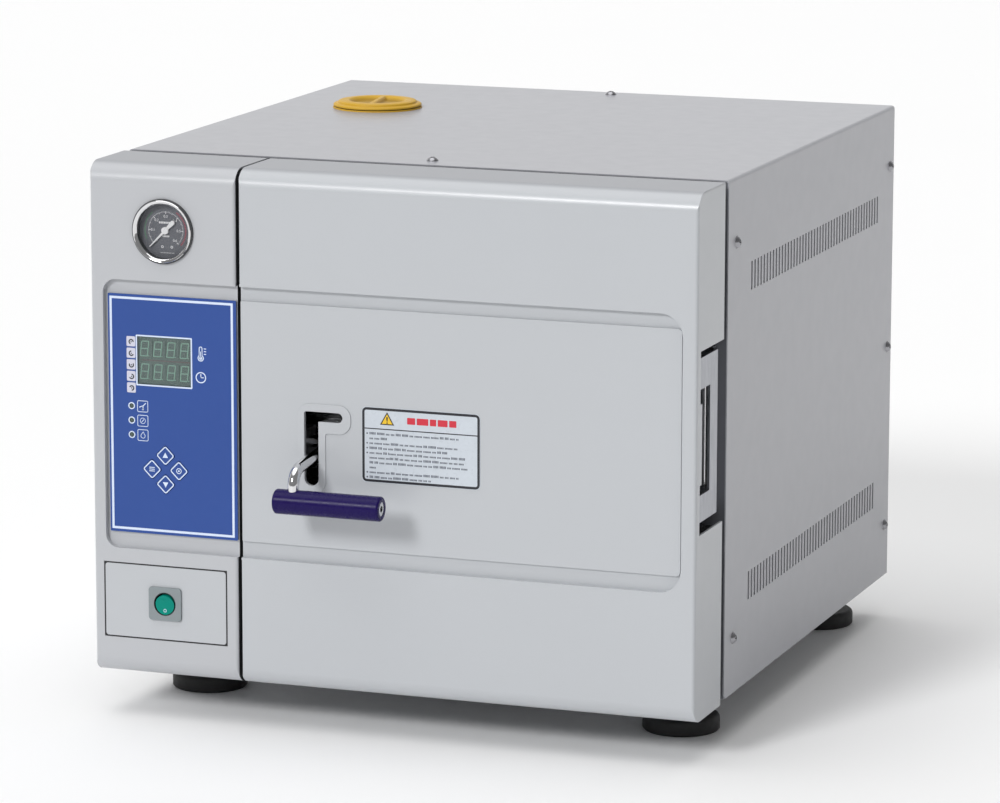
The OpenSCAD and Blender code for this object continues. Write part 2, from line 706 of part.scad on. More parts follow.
module hinge_bracket() at_front() color(steel) {
    ear_x0 = hinge_x - 8;
    difference() {
        union() {
            along_z(bracket_z0, bracket_z1, bracket_outline());
            for (z = [window_z0 - 8, window_z1]) {
                block([ear_x0, plate_x - plate_t + eps], [hinge_y - 8, joggle_y - 1.1], [z, z + 8]);
                block([ear_x0, plate_x - joggle - plate_t + eps], [hinge_y - 8, frame_y - plate_t + eps],
                    [z, z + 8]);
            }
        }
        block([plate_x - plate_t - 1, plate_x + 1], [bracket_front - 1, 43.6], [window_z0, window_z1]);
        rod_z(hinge_x, hinge_y, bracket_z0 - 1, bracket_z1 + 1, pin_r);
    }
}

module hinge_pin() at_front() color(steel) {
    rod_z(hinge_x, hinge_y, window_z0 - 11, window_z1 + 8, pin_r);
    rod_z(hinge_x, hinge_y, window_z1 + 8, window_z1 + 11, pin_r + 2);
}

// ---- door ----
// L-shaped slot for the lever, grown by g on every side
module lever_slot(y0, y1, g) {
    r = (slot_x1 - slot_x0) / 2 + g;
    leg_r = (slot_z1 - slot_leg_z) / 2 + g;
    mid = (slot_x0 + slot_x1) / 2;
    along_y(y0, y1, concat(arc(mid, slot_z0 + r - g, r, 180, 360, 12),
        [[slot_x1 + g, slot_leg_z - g]],
        arc(slot_end - leg_r + g, (slot_z1 + slot_leg_z) / 2, leg_r, -90, 90, 10),
        arc(slot_x0 - g + 2, slot_z1 + g - 2, 2, 90, 180, 4)));
}

module door_cover() at_front() color(shell_grey) difference() {
    front_shell(door_left, right, door_left - 20, band_right, [20, 2, 2, 20]);
    lever_slot(0, 12, 0.6);
    // Side opening for the hinge bracket, with a tab in front of the window
    difference() {
        block([right - 12, right + 1], [cut_y, front_d + 1], [cut_z0, cut_z1]);
        block([right - skin, right + 2], [cut_y - 1, cut_y + 5], [window_z0 + 10, window_z1 - 12]);
    }
    block([door_left - 1, door_left + 3], [latch_y0 - 0.5, latch_y0 + 12.5],
        [latch_z0 - 0.5, latch_z0 + latch_h + 0.5]);
}

module door_inset_panel() at_front() color(shell_grey) difference() {
    along_y(inset_y, band_d, rounded(door_left + 0.6, inset_z0, band_right - 1.5, inset_z1, [4, 1, 1, 4]));
    lever_slot(0, 12, 0.3);
}

module slot_escutcheon() at_front() color(shell_grey) difference() {
    x0 = slot_x0 - 6.5;
    x1 = slot_x1 + 6.5;
    x2 = slot_end + 7.7;
    z0 = slot_z0 - 6.7;
    z1 = slot_z1 + 7;
    leg = slot_leg_z - 10.2;
    r = 11;
    along_y(inset_y - 1, inset_y, concat(
        arc(x0 + r, z0 + r, r, 180, 270, 6), arc(x1 - r, z0 + r, r, 270, 360, 6),
        arc(x1 + 2, leg - 2, 2, 180, 90, 4), arc(x2 - r, leg + r, r, -90, 0, 6),
        arc(x2 - r, z1 - r, r, 0, 90, 6), arc(x0 + r, z1 - r, r, 90, 180, 6)));
    lever_slot(0, 12, 0);
}

module door_label() at_front() color("white") along_y(inset_y - 0.3, inset_y,
    rounded(-25.2, bottom + 190.9, 84.2, bottom + 257.4, four(4)));

// Clear of the hinge bracket as the door swings
module door_liner() at_front() color(steel) difference() {
    y0 = lid_y + 2.5;
    block([door_left + skin, right - skin], [y0, y0 + 1.5], [bottom + skin, top - skin]);
    rod_y(chamber_x, y0 - 1, y0 + 3, chamber_z, lid_r + 2.5);
    block([212, right + 1], [y0 - 1, y0 + 3], [cut_z0 - 4, cut_z1 + 4]);
}

// Cross beam that carries the lid, cranked back to the hinge knuckle, and the latch guide
module door_beam() at_front() color([0.5, 0.52, 0.54]) {
    difference() {
        union() {
            block([beam_left, 250], [beam_y, beam_y + beam_t], [beam_z0, beam_z1]);
            block([240, 250], [beam_y + beam_t - eps, 63], [beam_z0, beam_z1]);
            block([240, hinge_x], [hinge_y - 2.5, hinge_y + 5], [knuckle_z0, knuckle_z1]);
            rod_z(hinge_x, hinge_y, knuckle_z0, knuckle_z1, knuckle_r);
            // Stand-offs that fix the beam to the door's skin
            for (x = [0, 200]) block([x, x + 20], [band_d + skin, beam_y + eps], [beam_z0 + 5, beam_z1 - 5]);
        }
        rod_z(hinge_x, hinge_y, knuckle_z0 - 1, knuckle_z1 + 1, pin_r + running);
        rod_y(chamber_x, beam_y - 1, beam_y + beam_t + 1, chamber_z, 8 + running);
    }
}

// Bearings of the cross shaft and the guide of the latch bolt
module bearing_blocks() at_front() color([0.5, 0.52, 0.54]) difference() {
    fit = 0.15;
    union() {
        block([-125, -106], [band_d + skin, latch_y0 + 17], [latch_z0 - 8, latch_z0 + latch_h + 8]);
        block([-104, -92], [band_d + skin, shaft_y + 11], [shaft_z - 12, shaft_z + 12]);
        block([-16, -4], [beam_y + beam_t, shaft_y + 11], [shaft_z - 7, shaft_z + 12]);
        block([100, 112], [beam_y + beam_t, shaft_y + 11], [shaft_z - 7, shaft_z + 12]);
    }
    rod_x(-110, 120, shaft_y, shaft_z, shaft_r + running);
    block([-126, -105], [latch_y0 - fit, latch_y0 + 12 + fit], [latch_z0 - fit, latch_z0 + latch_h + fit]);
}

module latch_bolt() at_front() color(steel) {
    block([door_left + 1.5, -72], [latch_y0, latch_y0 + 12], [latch_z0, latch_z0 + latch_h]);
    block([-82, -72], [latch_y0 - 8, latch_y0 + eps], [latch_z0, latch_z0 + latch_h]);
}

// Straight round bar between two [y, z] points at rod_x
module bar(p, q) {
    d = q - p;
    translate([rod_x, p[0], p[1]]) rotate([-atan2(d[0], d[1]), 0, 0]) cylinder(r = rod_r, h = norm(d));
}

// Cross shaft with its cams, hub and the bent rod that leaves through the slot
module lever_arm() at_front() color(steel) {
    path = concat([[-grip_out, grip_z]], bend_points, [[shaft_y, shaft_z]]);
    rod_x(-108, 116, shaft_y, shaft_z, shaft_r);
    rod_x(rod_x - 9, rod_x + 9, shaft_y, shaft_z, 9.5);
    for (s = [-1, 1])
        rod_x(chamber_x + s * cam_off - 6, chamber_x + s * cam_off + 6, shaft_y, shaft_z + 1.5, 8.5);
    for (i = [0:len(path) - 2]) bar(path[i], path[i + 1]);
    for (i = [1:len(path) - 2]) translate([rod_x, path[i][0], path[i][1]]) sphere(r = rod_r);
}

module handle_grip() at_front() color([0.2, 0.13, 0.42]) difference() {
    translate([grip_x0, -grip_out, grip_z]) rotate([0, 90, 0]) rotate_extrude() polygon(concat([[0, 0]],
        arc(grip_r - 2, 2, 2, -90, 0, 5), arc(grip_r - 2, grip_l - 2, 2, 0, 90, 5), [[0, grip_l]]));
    rod_z(rod_x, -grip_out, grip_z, grip_z + grip_r + 1, rod_r);
    rod_x(grip_end - 4, grip_end + 1, -grip_out, grip_z, 6.3);
    rod_x(grip_end - 26, grip_end, -grip_out, grip_z, 3);
}

// Socket screw that clamps the grip, seen in its end
module grip_screw() at_front() color(steel) difference() {
    union() {
        rod_x(grip_end - 4, grip_end - 0.4, -grip_out, grip_z, 6.28);
        rod_x(grip_end - 25, grip_end - 3, -grip_out, grip_z, 2.98);
    }
    translate([grip_end - 3.2, -grip_out, grip_z]) rotate([0, 90, 0]) cylinder(r = 3, h = 4, $fn = 6);
}

module lid() at_front() color(steel) {
    spin_y(chamber_x, chamber_z, [[0, lid_y], [lid_r, lid_y], [lid_r, lid_y + lid_t], [140, lid_y + lid_t],
        [110, lid_y + lid_t + 3], [0, lid_y + lid_t + 3]]);
    rod_y(chamber_x, beam_y - 6, lid_y + eps, chamber_z, 8);
    // Pads that the cams press on
    for (s = [-1, 1]) rod_y(chamber_x + s * cam_off, shaft_y + 13, lid_y + eps, shaft_z, 7);
}

module lid_gasket() at_front() color([0.75, 0.3, 0.22])
    ring_y(chamber_x, lid_y + lid_t, lid_y + lid_t + gasket_t, chamber_z, 150, lid_r - 1);

base_pan();
front_frame();
rear_panel();
wrap_cover();
cover_screws();
rubber_feet();
foot_studs();
control_column();
column_chassis();
chamber();
chamber_insulation();
chamber_cradle();
heating_element();
tray_rack();
tray_lower();
tray_middle();
tray_upper();
water_tank();
filler_neck();
cap_gasket();
filler_cap();
gauge_case();
gauge_dial();
gauge_glass();
gauge_bezel();
gauge_needle();
keypad_plate();
membrane_overlay();
key_up();
key_down();
key_left();
key_right();
display_window();
display_module();
status_lamps();
control_board();
switch_plate();
switch_housing();
power_rocker();
solenoid_valves();
safety_valve();
power_supply();
pipework();
drain_outlet();
power_inlet();
hinge_bracket();
hinge_pin();
door_cover();
door_inset_panel();
door_liner();
door_beam();
slot_escutcheon();
door_label();
bearing_blocks();
lever_arm();
handle_grip();
grip_screw();
latch_bolt();
lid();
lid_gasket();
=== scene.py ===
"""Benchtop steam autoclave: the looks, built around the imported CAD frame.

Metres, in the CAD frame: +Z is up, the front faces -Y, the floor is z = 0.
"""
import json
import math

import bmesh
import bpy
from mathutils import Matrix, Vector


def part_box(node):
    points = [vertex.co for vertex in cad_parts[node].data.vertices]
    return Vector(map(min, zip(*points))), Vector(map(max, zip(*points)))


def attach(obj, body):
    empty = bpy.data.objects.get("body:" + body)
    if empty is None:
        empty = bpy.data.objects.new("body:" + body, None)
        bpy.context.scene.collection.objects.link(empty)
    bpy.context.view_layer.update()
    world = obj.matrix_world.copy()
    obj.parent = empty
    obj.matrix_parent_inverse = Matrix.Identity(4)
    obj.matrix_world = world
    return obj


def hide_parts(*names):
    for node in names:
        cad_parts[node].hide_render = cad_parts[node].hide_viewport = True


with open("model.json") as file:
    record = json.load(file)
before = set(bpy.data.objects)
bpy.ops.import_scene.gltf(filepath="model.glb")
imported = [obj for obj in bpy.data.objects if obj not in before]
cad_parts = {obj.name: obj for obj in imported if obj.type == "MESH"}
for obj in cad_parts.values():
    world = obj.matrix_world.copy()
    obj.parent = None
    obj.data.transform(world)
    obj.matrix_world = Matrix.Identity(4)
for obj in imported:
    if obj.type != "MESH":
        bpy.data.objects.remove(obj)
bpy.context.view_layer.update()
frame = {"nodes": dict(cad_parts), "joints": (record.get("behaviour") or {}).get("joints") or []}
nodes = frame["nodes"]
MM = 0.001


# ---- places taken from the frame ----

def centre(node):
    low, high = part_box(node)
    return (low + high) / 2


def joint_position(name):
    return Vector(next(j["pos_m"] for j in frame["joints"] if j["name"] == name))


# ---- materials ----

def srgb(r, g, b):
    """Linear colour of an 8-bit display colour."""
    return tuple((c / 255 / 12.92) if c <= 10 else ((c / 255 + 0.055) / 1.055) ** 2.4 for c in (r, g, b))


class Finish:
    """A procedural material: one principled shader, with noise that drives colour, roughness and bump."""

    def __init__(self, name, colour, rough, metal=0.0, **sockets):
        self.mat = bpy.data.materials.new(name)
        self.mat.use_nodes = True
        self.nodes = self.mat.node_tree.nodes
        self.links = self.mat.node_tree.links
        self.bsdf = self.nodes["Principled BSDF"]
        self.colour = colour
        self.set("Base Color", (*colour, 1.0))
        self.set("Roughness", rough)
        self.set("Metallic", metal)
        for key, value in sockets.items():
            self.set(key.replace("_", " ").title().replace("Ior", "IOR"), value)
        self.coords = self.nodes.new("ShaderNodeTexCoord").outputs["Object"]
        self.height = None

    def set(self, socket, value):
        self.bsdf.inputs[socket].default_value = value

    def noise(self, scale, detail=3.0, stretch=(1, 1, 1)):
        """Noise of the given number of cells per metre."""
        mapping = self.nodes.new("ShaderNodeMapping")
        mapping.inputs["Scale"].default_value = stretch
        texture = self.nodes.new("ShaderNodeTexNoise")
        texture.inputs["Scale"].default_value = scale
        texture.inputs["Detail"].default_value = detail
        self.links.new(self.coords, mapping.inputs["Vector"])
        self.links.new(mapping.outputs["Vector"], texture.inputs["Vector"])
        return texture.outputs["Fac"]

    def tint(self, factor, amount, other=None):
        """The colour wanders by a share of itself, or towards another colour."""
        mix = self.nodes.new("ShaderNodeMix")
        mix.data_type = "RGBA"
        low = tuple(c * (1 - amount) for c in self.colour) if other is None else self.colour
        high = tuple(min(1.0, c * (1 + amount)) for c in self.colour) if other is None else other
        mix.inputs["A"].default_value = (*low, 1.0)
        mix.inputs["B"].default_value = (*high, 1.0)
        self.links.new(factor, mix.inputs["Factor"])
        self.links.new(mix.outputs["Result"], self.bsdf.inputs["Base Color"])
        return self

    def roughen(self, factor, low, high):
        span = self.nodes.new("ShaderNodeMapRange")
        span.inputs["From Min"].default_value = 0.3
        span.inputs["From Max"].default_value = 0.7
        span.inputs["To Min"].default_value = low
        span.inputs["To Max"].default_value = high
        self.links.new(factor, span.inputs["Value"])
        self.links.new(span.outputs["Result"], self.bsdf.inputs["Roughness"])
        return self

    def inside(self, feature, colour, rough, metal=None):
        """Another colour, roughness and metalness where feature (1 inside, 0 outside) is 1."""
        for socket, value in (("Base Color", (*colour, 1.0)), ("Roughness", rough), ("Metallic", metal)):
            if value is None:
                continue
            mix = self.nodes.new("ShaderNodeMix")
            target = self.bsdf.inputs[socket]
            if socket == "Base Color":
                mix.data_type = "RGBA"
            if target.is_linked:
                self.links.new(target.links[0].from_socket, mix.inputs["A"])
            else:
                mix.inputs["A"].default_value = target.default_value
            mix.inputs["B"].default_value = value
            self.links.new(feature, mix.inputs["Factor"])
            self.links.new(mix.outputs["Result"], target)
        return self

    def beyond(self, axis, place):
        """1 where the coordinate (0 for x, 1 for y, 2 for z) is above place, in metres."""
        split = self.nodes.new("ShaderNodeSeparateXYZ")
        self.links.new(self.coords, split.inputs["Vector"])
        over = self.nodes.new("ShaderNodeMath")
        over.operation = "GREATER_THAN"
        over.inputs[1].default_value = place
        self.links.new(split.outputs[axis], over.inputs[0])
        return over.outputs["Value"]

    def rising(self, axis, start, end):
        """Climbs from 0 to 1 as the coordinate goes from start to end."""
        split = self.nodes.new("ShaderNodeSeparateXYZ")
        self.links.new(self.coords, split.inputs["Vector"])
        climb = self.nodes.new("ShaderNodeMapRange")
        climb.inputs["From Min"].default_value = start
        climb.inputs["From Max"].default_value = end
        self.links.new(split.outputs[axis], climb.inputs["Value"])
        return climb.outputs["Result"]

    def both(self, a, b):
        """Product of two features: 1 only where both are."""
        product = self.nodes.new("ShaderNodeMath")
        product.operation = "MULTIPLY"
        self.links.new(a, product.inputs[0])
        self.links.new(b, product.inputs[1])
        return product.outputs["Value"]

    def within(self, point, radius, flat):
        """1 nearer to the line through point than radius; flat has a 0 for the line's own direction."""
        away = self.nodes.new("ShaderNodeVectorMath")
        away.operation = "SUBTRACT"
        away.inputs[1].default_value = point
        self.links.new(self.coords, away.inputs[0])
        across = self.nodes.new("ShaderNodeVectorMath")
        across.operation = "MULTIPLY"
        across.inputs[1].default_value = flat
        self.links.new(away.outputs["Vector"], across.inputs[0])
        length = self.nodes.new("ShaderNodeVectorMath")
        length.operation = "LENGTH"
        self.links.new(across.outputs["Vector"], length.inputs[0])
        near = self.nodes.new("ShaderNodeMath")
        near.operation = "LESS_THAN"
        near.inputs[1].default_value = radius
        self.links.new(length.outputs["Value"], near.inputs[0])
        return near.outputs["Value"]

    def bump(self, factor, strength, depth):
        """depth is the height of the relief in metres."""
        node = self.nodes.new("ShaderNodeBump")
        node.inputs["Strength"].default_value = strength
        node.inputs["Distance"].default_value = depth
        self.links.new(factor, node.inputs["Height"])
        if self.height is not None:
            self.links.new(self.height, node.inputs["Normal"])
        self.links.new(node.outputs["Normal"], self.bsdf.inputs["Normal"])
        self.height = node.outputs["Normal"]
        return self


def powder_coat(name, colour, rough=0.36, coat=0.25, level=0.5):
    f = Finish(name, colour, rough, coat_weight=coat, coat_roughness=0.16, specular_ior_level=level)
    f.tint(f.noise(9, 2), 0.012)
    f.roughen(f.noise(60, 3), rough - 0.02, rough + 0.03)
    return f.bump(f.noise(700, 2), 0.05, 0.00006).bump(f.noise(14, 1), 0.015, 0.0005)


def brushed(name, colour, rough, stretch, grain=0.5):
    """Metal with fine parallel scratches; stretch is small along the scratches."""
    f = Finish(name, colour, rough, 1.0)
    lines = f.noise(900, 4, stretch)
    f.tint(f.noise(30, 3), 0.06)
    f.roughen(lines, rough - 0.09, rough + 0.12)
    return f.bump(lines, grain * 0.3, 0.00004)


def polished(name, colour, rough=0.07):
    f = Finish(name, colour, rough, 1.0)
    f.tint(f.noise(55, 3), 0.03)
    f.roughen(f.noise(140, 4), rough, rough + 0.07)
    return f.bump(f.noise(1500, 2), 0.03, 0.00003)


def moulded(name, colour, rough, grain=0.10, wander=0.05, **sockets):
    """Moulded plastic or rubber with a fine eroded grain."""
    f = Finish(name, colour, rough, **sockets)
    f.tint(f.noise(35, 3), wander)
    f.roughen(f.noise(160, 3), max(0.02, rough - 0.06), rough + 0.08)
    return f.bump(f.noise(2200, 3), grain, 0.00008)


def ink(name, colour, rough=0.4):
    """Screen-printed ink: slightly uneven cover."""
    f = Finish(name, colour, rough)
    f.tint(f.noise(260, 3), 0.05)
    f.roughen(f.noise(400, 2), rough - 0.05, rough + 0.1)
    return f.bump(f.noise(3000, 2), 0.08, 0.00003)


def clear(name, colour, alpha, rough=0.03):
    f = Finish(name, colour, rough, alpha=alpha, ior=1.5)
    f.tint(f.noise(70, 3), 0.04)
    f.roughen(f.noise(90, 4), rough, rough + 0.05)
    return f.bump(f.noise(25, 1), 0.04, 0.0003)


paint = powder_coat("grey_powder_coat", srgb(187, 190, 194), 0.34, 0.2, 0.4)
cover_paint = powder_coat("cover_powder_coat", srgb(165, 166, 172))
chrome = polished("bright_chrome", (0.74, 0.74, 0.75), 0.05)
screw_steel = polished("screw_steel", (0.34, 0.34, 0.36), 0.22)
stainless = brushed("brushed_stainless", (0.60, 0.60, 0.61), 0.30, (1, 0.03, 1))
stainless_plain = brushed("bright_stainless", (0.62, 0.62, 0.63), 0.22, (0.03, 1, 1), 0.3)
zinc = brushed("zinc_plate", (0.55, 0.56, 0.58), 0.36, (1, 1, 0.2), 0.4)
bracket_steel = brushed("bracket_steel", (0.36, 0.37, 0.40), 0.34, (1, 1, 0.05), 0.5)
cast = powder_coat("black_enamel", srgb(52, 53, 56), 0.5)
# Painted shade: the front frame, seen in the door's shadow gap, is painted dark grey for the shade there
frame_shade_paint = powder_coat("frame_painted_shade_grey", srgb(108, 110, 116), 0.45)
rubber = moulded("foot_rubber", srgb(32, 32, 33), 0.62, 0.35)
silicone = moulded("silicone_red", srgb(190, 88, 60), 0.5, 0.12)
# Black rubber of the cap gasket, also used as painted shade in the switch plate's groove
seal_black_and_groove_shade = moulded("seal_rubber_and_groove_shade", srgb(38, 38, 40), 0.55, 0.2)
gold_plastic = moulded("golden_plastic", srgb(206, 164, 54), 0.42, 0.06, specular_ior_level=0.2)
blue_film = moulded("blue_film", srgb(47, 78, 149), 0.50, 0.10, 0.02, specular_ior_level=0.3)
key_film = moulded("key_film", srgb(46, 76, 146), 0.50, 0.10, 0.02, specular_ior_level=0.3)
grip_plastic = moulded("grip_indigo", srgb(26, 12, 78), 0.26, 0.02, 0.03, specular_ior_level=0.16)
switch_grey = moulded("switch_grey", srgb(134, 142, 145), 0.45, 0.15)
rocker_green = moulded("rocker_green", srgb(4, 136, 120), 0.30, 0.02, specular_ior_level=0.12)
inlet_black = moulded("inlet_black", srgb(30, 30, 32), 0.5, 0.15)
module_grey = moulded("module_grey", srgb(106, 122, 118), 0.5, 0.06)
tank_plastic = moulded("tank_plastic", srgb(214, 220, 224), 0.4, 0.08)
board_green = moulded("solder_mask", srgb(20, 92, 52), 0.35, 0.12, 0.15)
lamp_lens = moulded("lamp_lens", srgb(72, 86, 80), 0.15, 0.02)
dial_black = moulded("dial_grey", srgb(104, 106, 113), 0.55, 0.05)
felt = moulded("wool_felt", srgb(206, 198, 178), 0.95, 0.9, 0.18)
brass = brushed("machined_brass", (0.72, 0.50, 0.22), 0.28, (1, 1, 0.1), 0.4)
copper = brushed("drawn_copper", (0.70, 0.36, 0.22), 0.30, (1, 1, 0.1), 0.3)
aluminium = brushed("mill_aluminium", (0.62, 0.63, 0.64), 0.38, (1, 0.05, 1), 0.4)
gauge_glass = clear("gauge_glass", (0.10, 0.11, 0.12), 0.06)
smoked = clear("smoked_window", srgb(84, 100, 98), 0.14)
white_ink = ink("white_ink", srgb(214, 226, 246))
black_ink = ink("black_ink", srgb(34, 35, 42))
red_ink = ink("red_ink", srgb(206, 44, 62))
yellow_ink = ink("yellow_ink", srgb(236, 194, 40))
grey_ink = ink("grey_ink", srgb(84, 90, 102))
green_ink = ink("green_ink", srgb(90, 130, 104))
maroon_ink = ink("maroon_ink", srgb(150, 84, 96))
segment_ink = ink("segment_ink", srgb(152, 190, 174))
divider_ink = ink("divider_ink", srgb(118, 104, 108))
label_white = ink("label_film", srgb(200, 207, 215), 0.3)
tile_silver = ink("tile_silver", srgb(206, 206, 220), 0.3)
needle_white = ink("needle_white", srgb(236, 236, 238), 0.35)

# Painted shade: the front of the column's side in the door gap is painted black for the gap's shade, and the
# rocker's well is painted black all round for its shade
PAINTED_SHADE_BLACK = srgb(26, 27, 30)
column_paint = powder_coat("column_powder_coat_painted_shade", srgb(185, 187, 191), 0.34, 0.2, 0.4)
column_low, column_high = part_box("control_column")
# Painted shade: black over the first 18 mm of the column's side, where the door gap is in shade
gap_shade_end = column_low.y + 18 * MM
column_paint.inside(column_paint.both(column_paint.beyond(0, column_high.x - 0.12 * MM),
                                      column_paint.rising(1, gap_shade_end + 0.1 * MM, gap_shade_end)), PAINTED_SHADE_BLACK, 0.6)
# Painted shade: the switch housing is painted black within 10.5 mm of the rocker, for the well's shade
switch_grey.inside(switch_grey.within(joint_position("rocker_tilt"), 10.5 * MM, (1, 0, 1)), PAINTED_SHADE_BLACK, 0.5)
# Painted shade: the flat top of the front units is painted darker and rougher so it takes less light, and
# the cap's hollows are painted a darker gold for their shade
top_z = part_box("door_cover")[1].z
# Painted shade: darker paint over the top 2 mm of the front units
for coat in (paint, column_paint):
    coat.inside(coat.rising(2, top_z - 2.2 * MM, top_z - 0.2 * MM), srgb(160, 162, 167), 0.5)
# Painted shade: a darker gold inside the cap's thumb hollows, where they sink below the top
cap_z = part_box("filler_cap")[1].z
gold_plastic.inside(gold_plastic.both(gold_plastic.within(centre("filler_cap"), 27.5 * MM, (1, 1, 0)),
                                      gold_plastic.rising(2, cap_z - 1.2 * MM, cap_z - 3.2 * MM)),
                    srgb(170, 134, 40), 0.45)
# Bare steel knuckle on the enamelled beam, and painted shade in the grip screw: a black disc over its socket
cast_beam = powder_coat("beam_enamel", srgb(52, 53, 56), 0.5)
cast_beam.inside(cast_beam.beyond(0, joint_position("door_hinge").x - 8 * MM),
                 (0.72, 0.72, 0.73), 0.16, 1.0)
grip_steel = polished("grip_screw_steel", (0.70, 0.70, 0.71), 0.08)
# Painted shade: the grip screw's socket is painted black within 2.6 mm of its axis
grip_steel.inside(grip_steel.within(centre("grip_screw"), 2.6 * MM, (0, 1, 1)), PAINTED_SHADE_BLACK, 0.5, 0.0)

FINISHES = {
    cover_paint: ["wrap_cover"],
    column_paint: ["control_column"],
    paint: ["door_cover", "door_inset_panel", "slot_escutcheon", "switch_plate", "rear_panel"],
    stainless: ["chamber", "tray_rack", "door_liner", "heating_element"],
    stainless_plain: ["lid", "tray_lower", "tray_middle", "tray_upper"],
    frame_shade_paint: ["front_frame"],
    zinc: ["base_pan", "column_chassis", "keypad_plate", "chamber_cradle", "foot_studs",
           "bearing_blocks", "latch_bolt"],
    bracket_steel: ["hinge_bracket"],
    cast: ["gauge_case"],
    cast_beam: ["door_beam"],
    grip_steel: ["grip_screw"],
    chrome: ["lever_arm", "gauge_bezel", "hinge_pin"],
    screw_steel: ["cover_screws"],
    rubber: ["rubber_feet"],
    silicone: ["lid_gasket"],
    seal_black_and_groove_shade: ["cap_gasket"],
    felt: ["chamber_insulation"],
    tank_plastic: ["water_tank"],
    gold_plastic: ["filler_neck", "filler_cap"],
    dial_black: ["gauge_dial"],
    gauge_glass: ["gauge_glass"],
    needle_white: ["gauge_needle"],
    blue_film: ["membrane_overlay"],
    key_film: ["key_up", "key_down", "key_left", "key_right"],
    smoked: ["display_window"],
    module_grey: ["display_module"],
    lamp_lens: ["status_lamps"],
    board_green: ["control_board"],
    switch_grey: ["switch_housing"],
    rocker_green: ["power_rocker"],
    brass: ["solenoid_valves", "safety_valve", "drain_outlet"],
    aluminium: ["power_supply"],
    copper: ["pipework"],
    inlet_black: ["power_inlet"],
    label_white: ["door_label"],
    grip_plastic: ["handle_grip"],
}
for finish, names in FINISHES.items():
    for name in names:
        nodes[name].data.materials.clear()
        nodes[name].data.materials.append(finish.mat)


# ---- softened edges on the CAD pieces ----

def soften(name, width, segments=2, angle=32):
    """Rounds a CAD piece's sharp edges by width, in metres, with modifiers only."""
    o = nodes[name]
    mesh = o.data
    if "custom_normal" in mesh.attributes:
        mesh.attributes.remove(mesh.attributes["custom_normal"])
    if "sharp_edge" in mesh.attributes:
        mesh.attributes.remove(mesh.attributes["sharp_edge"])
    if "sharp_face" in mesh.attributes:
        mesh.attributes.remove(mesh.attributes["sharp_face"])
    weld = o.modifiers.new("weld", "WELD")
    weld.merge_threshold = 0.002 * MM
    bevel = o.modifiers.new("bevel", "BEVEL")
    bevel.width = width
    bevel.segments = segments
    bevel.limit_method = "ANGLE"
    bevel.angle_limit = math.radians(angle)
    bevel.use_clamp_overlap = True
    bevel.face_strength_mode = "FSTR_ALL"
    normals = o.modifiers.new("normals", "WEIGHTED_NORMAL")
    normals.use_face_influence = True


for name, width in {
        "control_column": 0.35, "door_cover": 0.35, "door_inset_panel": 0.3, "slot_escutcheon": 0.25,
        "switch_plate": 0.4, "switch_housing": 0.5, "hinge_bracket": 0.3, "rear_panel": 0.25,
        "keypad_plate": 0.2, "power_inlet": 0.4}.items():
    soften(name, width * MM)


# ---- mesh helpers ----

def add_piece(name, bm, finish, body, smooth=30):
    """Makes an object of a bmesh, with faces smooth below the given angle, riding on a body."""
    bmesh.ops.recalc_face_normals(bm, faces=bm.faces)
    for face in bm.faces:
        face.smooth = True
    limit = math.radians(smooth)
    for edge in bm.edges:
        edge.smooth = len(edge.link_faces) == 2 and edge.calc_face_angle(0.0) < limit
    mesh = bpy.data.meshes.new(name)
    bm.to_mesh(mesh)
    bm.free()
    mesh.materials.append(finish.mat)
    o = bpy.data.objects.new(name, mesh)
    bpy.context.scene.collection.objects.link(o)
    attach(o, body)
    return o


def arc(cx, cz, r, a0, a1, n):
    steps = [math.radians(a0 + (a1 - a0) * i / n) for i in range(n + 1)]
    return [(cx + r * math.cos(a), cz + r * math.sin(a)) for a in steps]


def round_rect(x0, z0, x1, z1, r, n=4):
    return (arc(x1 - r, z1 - r, r, 0, 90, n) + arc(x0 + r, z1 - r, r, 90, 180, n)
            + arc(x0 + r, z0 + r, r, 180, 270, n) + arc(x1 - r, z0 + r, r, 270, 360, n))


def turned(points, cx, cz, angle):
    """Points turned about (cx, cz) by an angle in degrees."""
    c, s = math.cos(math.radians(angle)), math.sin(math.radians(angle))
    return [(cx + (x - cx) * c - (z - cz) * s, cz + (x - cx) * s + (z - cz) * c) for x, z in points]


